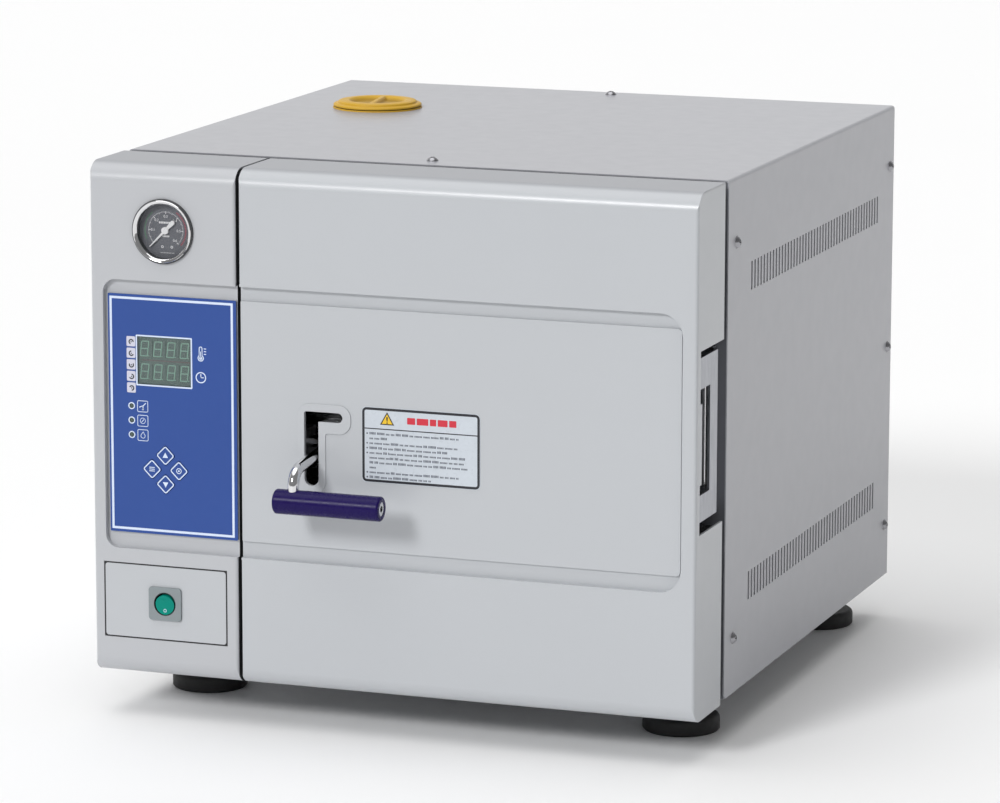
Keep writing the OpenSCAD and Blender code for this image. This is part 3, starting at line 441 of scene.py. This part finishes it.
class Print:
    """Thin raised shapes on a face that looks along -Y, gathered into one piece. Points are (x, z)."""

    def __init__(self, y, thickness):
        self.bm = bmesh.new()
        self.back = y
        self.front = y - thickness

    def loops(self, points):
        return [[self.bm.verts.new((x, y, z)) for x, z in points] for y in (self.front, self.back)]

    def skirt(self, a, b):
        for i in range(len(a)):
            j = (i + 1) % len(a)
            self.bm.faces.new((a[i], a[j], b[j], b[i]))

    def fill(self, points):
        front, back = self.loops(points)
        self.bm.faces.new(front)
        self.bm.faces.new(reversed(back))
        self.skirt(front, back)
        return self

    def ring(self, outer, inner):
        outer_front, outer_back = self.loops(outer)
        inner_front, inner_back = self.loops(inner)
        self.skirt(outer_front, outer_back)
        self.skirt(inner_front, inner_back)
        self.skirt(outer_front, inner_front)
        self.skirt(outer_back, inner_back)
        return self

    def disc(self, x, z, r, n=20):
        return self.fill(arc(x, z, r, 0, 360 - 360 / n, n - 1))

    def circle(self, x, z, r, width, n=28):
        turn = 360 - 360 / n
        return self.ring(arc(x, z, r, 0, turn, n - 1), arc(x, z, r - width, 0, turn, n - 1))

    def frame(self, x0, z0, x1, z1, r, width, angle=0.0):
        cx, cz = (x0 + x1) / 2, (z0 + z1) / 2
        inner_r = max(0.05 * MM, r - width)
        outer = round_rect(x0, z0, x1, z1, r)
        inner = round_rect(x0 + width, z0 + width, x1 - width, z1 - width, inner_r)
        return self.ring(turned(outer, cx, cz, angle), turned(inner, cx, cz, angle))

    def line(self, a, b, width):
        (ax, az), (bx, bz) = a, b
        length = math.hypot(bx - ax, bz - az)
        nx, nz = -(bz - az) / length * width / 2, (bx - ax) / length * width / 2
        return self.fill([(ax + nx, az + nz), (bx + nx, bz + nz), (bx - nx, bz - nz), (ax - nx, az - nz)])

    def band(self, cx, cz, r0, r1, a0, a1, n=24):
        """Part of a ring between two angles."""
        return self.fill(arc(cx, cz, r1, a0, a1, n) + arc(cx, cz, r0, a1, a0, n))

    def place(self, name, finish, body, slot):
        return add_piece(name, self.bm, finish, body)


def lathe(bm, profile, origin, axis, steps=64):
    """Body of revolution. profile has (radius, height) points along axis ('x', 'y' or 'z') from origin."""
    turn = {"x": Matrix.Rotation(math.pi / 2, 4, "Y"), "y": Matrix.Rotation(-math.pi / 2, 4, "X"),
            "z": Matrix.Identity(4)}[axis]
    place = Matrix.Translation(Vector(origin)) @ turn
    rings = []
    for r, h in profile:
        if r < 1e-7:
            rings.append([bm.verts.new(place @ Vector((0, 0, h)))])
            continue
        angles = [2 * math.pi * i / steps for i in range(steps)]
        rings.append([bm.verts.new(place @ Vector((r * math.cos(a), r * math.sin(a), h))) for a in angles])
    for low, high in zip(rings, rings[1:]):
        for i in range(steps):
            j = (i + 1) % steps
            corners = [low[i % len(low)], low[j % len(low)], high[j % len(high)], high[i % len(high)]]
            unique = list(dict.fromkeys(corners))
            if len(unique) > 2:
                bm.faces.new(unique)
    for ring in (rings[0], rings[-1]):
        if len(ring) > 1:
            bm.faces.new(ring)


def tube(bm, path, radius, steps=32):
    """Round bar along a path of points that lies in a plane of constant x."""
    rings = []
    for i, p in enumerate(path):
        ahead = path[min(i + 1, len(path) - 1)] - path[max(i - 1, 0)]
        along = ahead.normalized()
        side = Vector((1, 0, 0))
        up = along.cross(side)
        rings.append([bm.verts.new(p + radius * (side * math.cos(a) + up * math.sin(a)))
                      for a in (2 * math.pi * k / steps for k in range(steps))])
    for low, high in zip(rings, rings[1:]):
        for k in range(steps):
            m = (k + 1) % steps
            bm.faces.new((low[k], low[m], high[m], high[k]))
    bm.faces.new(rings[0])
    bm.faces.new(rings[-1])


# ---- keypad print ----

INK = 0.08 * MM                      # thickness of printed marks


def key_prints():
    """A diamond outline on each key, round a triangle, three bars or a ring."""
    half = 6.2 * MM
    arrow_half, arrow_foot, arrow_tip = 2.6 * MM, 1.9 * MM, 2.9 * MM
    arrows = {"key_up": 1, "key_down": -1}
    for name in ("key_up", "key_down", "key_left", "key_right"):
        c = centre(name)
        marks = Print(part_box(name)[0].y, INK)
        marks.frame(c.x - half, c.z - half, c.x + half, c.z + half, 2 * MM, 1.0 * MM, 45)
        if name in arrows:
            up = arrows[name]
            marks.fill([(c.x - arrow_half, c.z - up * arrow_foot), (c.x + arrow_half, c.z - up * arrow_foot),
                        (c.x, c.z + up * arrow_tip)])
        elif name == "key_left":
            for row in (-1, 0, 1):
                z = c.z + row * 1.6 * MM
                marks.line((c.x - arrow_half, z), (c.x + arrow_half, z), 0.7 * MM)
        else:
            marks.circle(c.x, c.z, 2.6 * MM, 0.7 * MM)
            marks.disc(c.x, c.z, 0.8 * MM)
        marks.place(name + "_print", white_ink, name.replace("key_", "") + "_key", "blue_film")


def lamp_marks(marks):
    """Rings round the three lamps, and a framed icon beside each."""
    low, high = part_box("status_lamps")
    lamp_x = (low.x + high.x) / 2
    lamp_r = (high.x - low.x) / 2
    pitch = (high.z - low.z - 2 * lamp_r) / 2
    x = lamp_x + 10.6 * MM
    half = 5.2 * MM
    for i in range(3):
        z = low.z + lamp_r + i * pitch
        marks.circle(lamp_x, z, 3.2 * MM, 1.0 * MM)
        marks.frame(x - half, z - half, x + half, z + half, 1.4 * MM, 0.55 * MM)
    # Drop, ring with a bar, and a valve lever, from the bottom up
    z = low.z + lamp_r
    marks.ring(arc(x, z - 0.6 * MM, 2.3 * MM, -230, 50, 17) + [(x + 0.2 * MM, z + 3.4 * MM)],
               arc(x, z - 0.6 * MM, 1.8 * MM, -230, 50, 17) + [(x + 0.2 * MM, z + 2.6 * MM)])
    z += pitch
    marks.circle(x, z, 2.7 * MM, 0.45 * MM)
    marks.line((x - 1.1 * MM, z - 1.3 * MM), (x + 1.1 * MM, z + 1.3 * MM), 0.6 * MM)
    z += pitch
    marks.line((x - 3.2 * MM, z - 0.9 * MM), (x + 0.2 * MM, z + 0.5 * MM), 0.8 * MM)
    marks.line((x, z), (x + 3.0 * MM, z + 3.0 * MM), 0.8 * MM)
    marks.line((x + 0.4 * MM, z + 0.2 * MM), (x + 0.2 * MM, z - 3.0 * MM), 0.9 * MM)
    marks.disc(x + 0.2 * MM, z - 2.6 * MM, 0.9 * MM)


def display_signs(marks):
    """Thermometer and clock beside the two rows of the display."""
    low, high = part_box("display_window")
    x = high.x + 9.5 * MM
    z = high.z - 12.5 * MM
    bulb_z, stem_z = z - 3.4 * MM, z + 5.2 * MM
    marks.ring(arc(x, bulb_z, 3.0 * MM, -235, 55, 14) + arc(x, stem_z, 1.75 * MM, 0, 180, 8),
               arc(x, bulb_z, 2.1 * MM, -235, 55, 14) + arc(x, stem_z, 0.9 * MM, 0, 180, 8))
    marks.disc(x, bulb_z, 1.5 * MM)
    marks.line((x, bulb_z), (x, z + 2.4 * MM), 0.8 * MM)
    for rise in (0.2, 2.6, 5.0):
        marks.line((x + 3.0 * MM, z + rise * MM), (x + 5.2 * MM, z + rise * MM), 0.75 * MM)
    clock_z = low.z + 9.5 * MM
    hand = 0.85 * MM
    marks.circle(x, clock_z, 5.0 * MM, 0.95 * MM, 36)
    marks.line((x, clock_z - 0.4 * MM), (x, clock_z + 3.2 * MM), hand)
    marks.line((x - 0.4 * MM, clock_z), (x + 2.7 * MM, clock_z), hand)


def keypad_print():
    """All the white print on the fixed part of the overlay."""
    low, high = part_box("membrane_overlay")
    marks = Print(low.y, INK)
    left, right, bottom, top = 1.7 * MM, 3.0 * MM, 2.4 * MM, 2.4 * MM
    marks.frame(low.x + left, low.z + bottom, high.x - right, high.z - top, 0.4 * MM, 2.1 * MM)
    lamp_marks(marks)
    window_low, window_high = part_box("display_window")
    edge = 1.3 * MM
    marks.frame(window_low.x - edge, window_low.z - edge, window_high.x + edge, window_high.z + edge,
                1.0 * MM, edge)
    display_signs(marks)
    marks.place("keypad_print", white_ink, "casing", "blue_film")


def mode_tiles():
    """Five tiles left of the display, each with an open ring turned its own way."""
    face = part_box("membrane_overlay")[0].y
    window_low, window_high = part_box("display_window")
    tiles = Print(face, INK)
    glyphs = Print(face - INK, INK)
    x = window_low.x - 6.0 * MM
    half_width, half_height, pitch = 4.2 * MM, 4.5 * MM, 10.35 * MM
    for i, turn in enumerate((0, 90, 150, 200, 270)):
        z = window_high.z - 5.0 * MM - i * pitch
        tiles.fill(round_rect(x - half_width, z - half_height, x + half_width, z + half_height, 1.0 * MM))
        glyphs.band(x + 0.3 * MM, z - 0.4 * MM, 1.4 * MM, 2.5 * MM, turn, turn + 250, 16)
        glyphs.disc(x + 0.3 * MM, z - 0.4 * MM, 0.6 * MM, 10)
    tiles.place("mode_tiles", tile_silver, "casing", "blue_film")
    glyphs.place("mode_glyphs", black_ink, "casing", "blue_film")


# ---- seven-segment digits ----

def digit(marks, x, z, height, width, stroke, lean):
    """A digit with all seven bars, whose lower left corner is (x, z)."""
    def leaning(x0, z0, x1, z1, r):
        return [(x + px + pz * lean, z + pz) for px, pz in round_rect(x0, z0, x1, z1, r, 2)]

    marks.ring(leaning(0, 0, width, height, 1.1 * MM),
               leaning(stroke, stroke, width - stroke, height - stroke, 0.4 * MM))
    marks.fill(leaning(stroke, (height - stroke) / 2, width - stroke, (height + stroke) / 2, 0.05 * MM))


def display_digits():
    low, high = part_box("display_window")
    module_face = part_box("display_module")[0].y
    pitch = 12.7 * MM
    height, width, stroke = 14.2 * MM, 7.8 * MM, 1.0 * MM
    lean = math.tan(math.radians(7))
    well = 0.6 * MM                  # depth of the wells in the module's face
    marks = Print(module_face + well, 0.35 * MM)
    rows = (low.z + 4.2 * MM, low.z + 24.6 * MM)
    for row, z in enumerate(rows):
        for i in range(4):
            x = low.x + 1.3 * MM + i * pitch
            digit(marks, x, z, height, width, stroke, lean)
            marks.disc(x + width + 0.9 * MM, z + 0.7 * MM, 0.55 * MM, 12)
        if row == 0:
            colon_x = low.x + 2.4 * MM + 2 * pitch - 1.9 * MM
            for dz in (4.2 * MM, 10.0 * MM):
                marks.disc(colon_x + (dz - height / 2) * lean, z + dz, 0.6 * MM, 12)
    marks.place("display_segments", segment_ink, "casing", "display_black")
    divider = Print(module_face, 0.1 * MM)
    divider.line((low.x + 4 * MM, low.z + 21.6 * MM), (high.x - 1 * MM, low.z + 21.6 * MM), 1.1 * MM)
    divider.place("display_divider", divider_ink, "casing", "display_black")


# ---- pressure gauge ----

DIAL_INK = 0.1 * MM                  # thickness of the marks on the dial


def flat_text(text, size, x, z, y, thickness):
    """Mesh of a number, centred on (x, z), facing -Y."""
    curve = bpy.data.curves.new("number", "FONT")
    curve.body = text
    curve.size = size
    curve.extrude = thickness / 2
    curve.align_x = "CENTER"
    curve.align_y = "CENTER"
    holder = bpy.data.objects.new("number", curve)
    bpy.context.scene.collection.objects.link(holder)
    holder.matrix_world = (Matrix.Translation((x, y - thickness / 2, z))
                           @ Matrix.Rotation(math.pi / 2, 4, "X"))
    bpy.context.view_layer.update()
    mesh = bpy.data.meshes.new_from_object(holder.evaluated_get(bpy.context.evaluated_depsgraph_get()))
    mesh.transform(holder.matrix_world)
    bpy.data.objects.remove(holder)
    return mesh


def dial_scale(marks, c, face):
    """Lines and numbers of the scale, clockwise from the lower left."""
    start, sweep = 225, 270          # degrees: the first line, and the length of the scale
    divisions, numbers = 60, 6
    outer, inner, half_way, fine = 16.8 * MM, 14.6 * MM, 15.2 * MM, 15.8 * MM
    for i in range(divisions + 1):
        a = math.radians(start - sweep * i / divisions)
        numbered = i % 10 == 0
        r = inner if numbered else half_way if i % 5 == 0 else fine
        marks.line((c.x + r * math.cos(a), c.z + r * math.sin(a)),
                   (c.x + outer * math.cos(a), c.z + outer * math.sin(a)),
                   0.6 * MM if numbered else 0.38 * MM)
    number_r, number_size = 12.3 * MM, 3.3 * MM
    for i in range(numbers + 1):
        a = math.radians(start - sweep * i / numbers)
        mesh = flat_text("0" if i == 0 else f"0.{i}", number_size,
                         c.x + number_r * math.cos(a), c.z + number_r * math.sin(a), face, DIAL_INK)
        marks.bm.from_mesh(mesh)


def dial_bars(marks, c, count, left, pitch, width, bottom, top, r):
    """A row of upright bars where the dial has a word; left, bottom and top are from its middle."""
    for k in range(count):
        x = left + k * pitch
        marks.fill(round_rect(c.x + x * MM, c.z + bottom * MM, c.x + (x + width) * MM, c.z + top * MM,
                              r * MM, 2))


def gauge_face():
    """Scale, numbers, word bars and the two coloured zones of the dial."""
    c = centre("gauge_dial")
    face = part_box("gauge_dial")[0].y
    marks = Print(face, DIAL_INK)
    dial_scale(marks, c, face)
    for dx in (-3.4, 5.6):
        marks.circle(c.x + dx * MM, c.z - 14.6 * MM, 1.2 * MM, 0.55 * MM, 16)
    dial_bars(marks, c, 5, -3.2, 1.35, 1.0, -6.0, -4.4, 0.2)
    dial_bars(marks, c, 8, -6.4, 1.55, 1.2, 5.9, 7.7, 0.2)
    dial_bars(marks, c, 9, -5.0, 1.5, 0.8, -20.2, -19.5, 0.1)
    marks.place("dial_print", needle_white, "casing", "dial_face")
    red = Print(face, DIAL_INK).band(c.x, c.z, 18.3 * MM, 19.7 * MM, -42, 58)
    red.place("dial_red_zone", maroon_ink, "casing", "dial_face")
    green = Print(face, DIAL_INK).band(c.x, c.z, 19.4 * MM, 20.4 * MM, 128, 205)
    green.place("dial_green_zone", green_ink, "casing", "dial_face")


# ---- door label ----

def warning_sign(black, x, z):
    """Triangle with an exclamation mark; returns the outline of its yellow middle."""
    r, shrink = 7.6 * MM, 0.76
    mid_z = z - 1.2 * MM
    corners = [(x + r * math.cos(math.radians(a)), mid_z + r * math.sin(math.radians(a)))
               for a in (90, 210, 330)]
    inner = [(x + (px - x) * shrink, mid_z + (pz - mid_z) * shrink) for px, pz in corners]
    black.ring(corners, inner)
    bar_top, bar_bottom = z + 2.0 * MM, z - 1.9 * MM
    black.fill([(x - 0.75 * MM, bar_top), (x + 0.75 * MM, bar_top), (x + 0.4 * MM, bar_bottom),
                (x - 0.4 * MM, bar_bottom)])
    black.disc(x, z - 3.2 * MM, 0.65 * MM, 12)
    return inner


def heading_blocks(face, x, z):
    """The heading, as plain blocks from x on."""
    red = Print(face, INK)
    half, gap = 2.9 * MM, 1.5 * MM
    for width in (7.4 * MM, 10.6 * MM, 5.8 * MM, 9.0 * MM, 6.6 * MM):
        red.fill(round_rect(x, z - half, x + width, z + half, 0.5 * MM))
        x += width + gap
    red.place("label_heading", red_ink, "door", "label_white")


def writing_bars(face, left, width, top, bottom):
    """Ten lines of writing as broken bars, and the numbers of the paragraphs as dots."""
    bars = Print(face, INK)
    lengths = (0.84, 0.18, 0.86, 0.76, 0.90, 0.90, 0.92, 0.07, 0.84, 0.58)
    paragraphs = (0, 2, 3, 4, 8, 9)
    words = (5.2, 3.4, 2.6, 6.4, 4.2, 7.0, 3.0, 5.6)
    pitch = (top - bottom) / (len(lengths) - 1)
    letter, letter_pitch, space = 0.8 * MM, 1.2 * MM, 1.0 * MM
    for i, share in enumerate(lengths):
        z = top - i * pitch
        x = left + 7.2 * MM
        end = x + share * (width - 12 * MM)
        k = i
        while x < end - letter_pitch:
            stop = min(end, x + words[k % len(words)] * MM)
            while x < stop:
                rise = 1.2 if (k * 7 + int(x / (0.4 * MM))) % 3 == 0 else 0.6
                bars.fill([(x, z - 0.9 * MM), (x + letter, z - 0.9 * MM), (x + letter, z + rise * MM),
                           (x, z + rise * MM)])
                x += letter_pitch
            x += space
            k += 3
        if i in paragraphs:
            bars.disc(left + 5.0 * MM, z, 0.75 * MM, 10)
    bars.place("label_text_bars", grey_ink, "door", "label_white")


def door_label():
    low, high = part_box("door_label")
    width, height = high.x - low.x, high.z - low.z
    rim, inset = 2.2 * MM, 0.4 * MM
    black = Print(low.y, INK)
    black.frame(low.x + inset, low.z + inset, high.x - inset, high.z - inset, 4 * MM, rim)
    divider_z = high.z - 0.285 * height
    black.line((low.x + rim, divider_z), (high.x - rim, divider_z), 0.9 * MM)
    head_z = (divider_z + high.z) / 2
    yellow = warning_sign(black, low.x + 0.215 * width, head_z - 0.6 * MM)
    black.place("label_black_print", black_ink, "door", "label_white")
    Print(low.y, 0.5 * INK).fill(yellow).place("label_triangle", yellow_ink, "door", "label_white")
    heading_blocks(low.y, low.x + 0.385 * width, head_z - 0.8 * MM)
    writing_bars(low.y, low.x, width, divider_z - 4.4 * MM, low.z + 4.6 * MM)


# ---- lever ----

def lever():
    """The bent rod as one smooth bar, with the cross shaft, hub and cams behind the door."""
    bm = bmesh.new()
    shaft = joint_position("lever_lift")
    low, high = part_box("lever_arm")
    grip = centre("handle_grip")
    rod_x = -71.8 * MM               # where the rod leaves the cross shaft
    rod_r, bend_r, tilt = 5 * MM, 15 * MM, math.radians(6)
    corner = Vector((rod_x, grip.y, shaft.z - (shaft.y - grip.y) * math.tan(tilt)))
    reach = bend_r * math.tan((math.pi / 2 - tilt) / 2)
    path = [Vector((rod_x, grip.y, grip.z))]
    steps = 24
    for i in range(steps + 1):
        a = i * (math.pi / 2 - tilt) / steps
        path.append(Vector((rod_x, grip.y + bend_r * (1 - math.cos(a)),
                            corner.z - reach + bend_r * math.sin(a))))
    path.append(Vector((rod_x, shaft.y, shaft.z)))
    tube(bm, path, rod_r)
    lathe(bm, [(0, low.x), (5 * MM, low.x), (6 * MM, low.x + 1 * MM), (6 * MM, high.x - 1 * MM),
               (5 * MM, high.x), (0, high.x)], (0, shaft.y, shaft.z), "x")
    hub = 9.5 * MM
    lathe(bm, [(0, -9 * MM), (hub - 1 * MM, -9 * MM), (hub, -8 * MM), (hub, 8 * MM),
               (hub - 1 * MM, 9 * MM), (0, 9 * MM)], (rod_x, shaft.y, shaft.z), "x")
    chamber_x = centre("lid").x
    for side in (-24, 24):
        lathe(bm, [(0, -6 * MM), (8 * MM, -6 * MM), (8.5 * MM, -5.5 * MM), (8.5 * MM, 5.5 * MM),
                   (8 * MM, 6 * MM), (0, 6 * MM)], (chamber_x + side * MM, shaft.y, shaft.z + 1.5 * MM), "x")
    piece = add_piece("lever_rod", bm, chrome, "lever", 40)
    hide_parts("lever_arm")


# ---- filler cap ----

def smoothstep(a, b, x):
    t = max(0.0, min(1.0, (x - a) / (b - a)))
    return t * t * (3 - 2 * t)


def filler_cap():
    """Moulded cap: a flat disc with two thumb hollows and the grip bar left between them."""
    low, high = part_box("filler_cap")
    c = centre("filler_cap")
    rim = (high.x - low.x) / 2
    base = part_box("cap_gasket")[1].z + 0.1 * MM
    top = high.z
    turn = math.radians(9)
    bm = bmesh.new()
    steps = 144
    flat_r, plug_r, plug_z = 31 * MM, 31.4 * MM, low.z
    radii = [flat_r * i / 40 for i in range(41)]
    rings = []
    for r in radii:
        ring = []
        for k in range(steps if r > 0 else 1):
            a = 2 * math.pi * k / steps
            x, y = r * math.cos(a), r * math.sin(a)
            across = abs(x * math.cos(turn) + y * math.sin(turn))
            hollow = smoothstep(1.6 * MM, 4.4 * MM, across) * (1 - smoothstep(22.5 * MM, 27.8 * MM, r))
            ring.append(bm.verts.new((c.x + x, c.y + y, top - 3.7 * MM * hollow)))
        rings.append(ring)
    shoulder = [(34.6 * MM, -0.2 * MM), (36.4 * MM, -0.6 * MM), (37.2 * MM, -1.2 * MM),
                (37.4 * MM, -2.3 * MM), (38.4 * MM, -2.6 * MM), (40.6 * MM, -3.0 * MM),
                (41.6 * MM, -3.6 * MM), (rim, -4.4 * MM)]
    profile = [(r, top + dz) for r, dz in shoulder]
    profile += [(rim - 0.3 * MM, base), (plug_r, base), (plug_r, plug_z + 1 * MM),
                (plug_r - 1 * MM, plug_z), (27 * MM, plug_z), (27 * MM, base - 1.5 * MM)]
    for r, z in profile:
        rings.append([bm.verts.new((c.x + r * math.cos(2 * math.pi * k / steps),
                                    c.y + r * math.sin(2 * math.pi * k / steps), z)) for k in range(steps)])
    for inner, outer in zip(rings, rings[1:]):
        for k in range(steps):
            m = (k + 1) % steps
            if len(inner) == 1:
                bm.faces.new((inner[0], outer[k], outer[m]))
            else:
                bm.faces.new((inner[k], outer[k], outer[m], inner[m]))
    bm.faces.new(rings[-1])
    piece = add_piece("filler_cap_moulding", bm, gold_plastic, "cap", 50)
    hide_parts("filler_cap")


# ---- rocker mark ----

def rocker_mark():
    """Small ring on the lower half of the rocker's face."""
    c = joint_position("rocker_tilt")
    bm = bmesh.new()
    r, width = 1.5 * MM, 0.45 * MM
    n = 24
    rest = math.radians(7)
    # The rocker's face is a hollow cylinder about X; the ring follows it
    face_r, face_y = 39 * MM, -44.8 * MM
    loops = []
    for radius in (r, r - width):
        for lift in (0.0, 0.06 * MM):
            loop = []
            for k in range(n):
                a = 2 * math.pi * k / n
                x, z = radius * math.cos(a), -5.2 * MM + radius * math.sin(a)
                y = face_y + math.sqrt(face_r ** 2 - z ** 2) - lift
                point = Matrix.Rotation(rest, 4, "X") @ Vector((x, y, z))
                loop.append(bm.verts.new(point + c))
            loops.append(loop)
    outer, outer_up, inner, inner_up = loops
    for a, b in ((outer, outer_up), (outer_up, inner_up), (inner_up, inner), (inner, outer)):
        for k in range(n):
            m = (k + 1) % n
            bm.faces.new((a[k], a[m], b[m], b[k]))
    add_piece("rocker_off_mark", bm, white_ink, "rocker")


def groove_shade():
    """Painted shade: a black strip in the groove round the switch plate, for the groove's shade."""
    low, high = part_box("switch_plate")
    flange = 4 * MM                  # the plate's hidden flange is this much larger on each side
    x0, x1, z0, z1 = low.x + flange, high.x - flange, low.z + flange, high.z - flange
    gap = 1.35 * MM
    # Painted shade: black strip filling the groove
    groove_strip = Print(high.y - 1.4 * MM, high.y - low.y - 1.75 * MM)
    groove_strip.ring(round_rect(x0 - gap, z0 - gap, x1 + gap, z1 + gap, 1.4 * MM),
              round_rect(x0, z0, x1, z1, 2.5 * MM))
    groove_strip.place("switch_plate_groove_shade", seal_black_and_groove_shade, "casing", "gasket_rubber")


key_prints()
keypad_print()
mode_tiles()
display_digits()
groove_shade()
gauge_face()
door_label()
lever()
filler_cap()
rocker_mark()


# ---- floor, light, camera ----

def studio():
    scene = bpy.context.scene
    scene.view_settings.view_transform = "Standard"
    bpy.ops.mesh.primitive_grid_add(x_subdivisions=4, y_subdivisions=4, size=60)
    floor = bpy.context.object
    floor.name = "floor"
    pale = Finish("pale_floor", (0.96, 0.96, 0.96), 0.7)
    pale.tint(pale.noise(0.6, 2), 0.01)
    floor.data.materials.append(pale.mat)

    world = bpy.data.worlds.new("studio")
    scene.world = world
    world.use_nodes = True
    tree = world.node_tree
    background = tree.nodes["Background"]
    background.inputs["Color"].default_value = (1.0, 1.0, 1.0, 1.0)
    # Brighter behind the machine, as with a white paper backdrop
    coords = tree.nodes.new("ShaderNodeTexCoord")
    facing = tree.nodes.new("ShaderNodeVectorMath")
    facing.operation = "DOT_PRODUCT"
    facing.inputs[1].default_value = Vector((-0.55, 0.83, 0.05)).normalized()
    level = tree.nodes.new("ShaderNodeMapRange")
    level.inputs["To Min"].default_value = 0.24
    level.inputs["To Max"].default_value = 0.90
    tree.links.new(coords.outputs["Generated"], facing.inputs[0])
    tree.links.new(facing.outputs["Value"], level.inputs["Value"])
    tree.links.new(level.outputs["Result"], background.inputs["Strength"])

    def sun(name, towards, strength, spread):
        """Light that comes from a direction, the same over the whole floor."""
        light = bpy.data.lights.new(name, "SUN")
        light.energy = strength * math.pi
        light.angle = math.radians(spread)
        o = bpy.data.objects.new(name, light)
        scene.collection.objects.link(o)
        o.rotation_euler = Vector(towards).to_track_quat("Z", "Y").to_euler()

    sun("key", (-0.3, -1.0, 0.6), 0.48, 14)
    sun("overhead", (-0.1, -0.1, 1.0), 0.42, 60)


def camera():
    data = bpy.data.cameras.new("camera")
    data.sensor_width = 36
    data.lens = 175.62
    o = bpy.data.objects.new("camera", data)
    bpy.context.scene.collection.objects.link(o)
    o.location = (1.5007, -4.1526, 1.0980)
    pan, tilt, roll = (math.radians(a) for a in (19.910, 90 - 10.874, 0.099))
    turn = Matrix.Rotation(pan, 3, "Z") @ Matrix.Rotation(tilt, 3, "X") @ Matrix.Rotation(roll, 3, "Z")
    o.rotation_euler = turn.to_euler()
    bpy.context.scene.camera = o


studio()
camera()
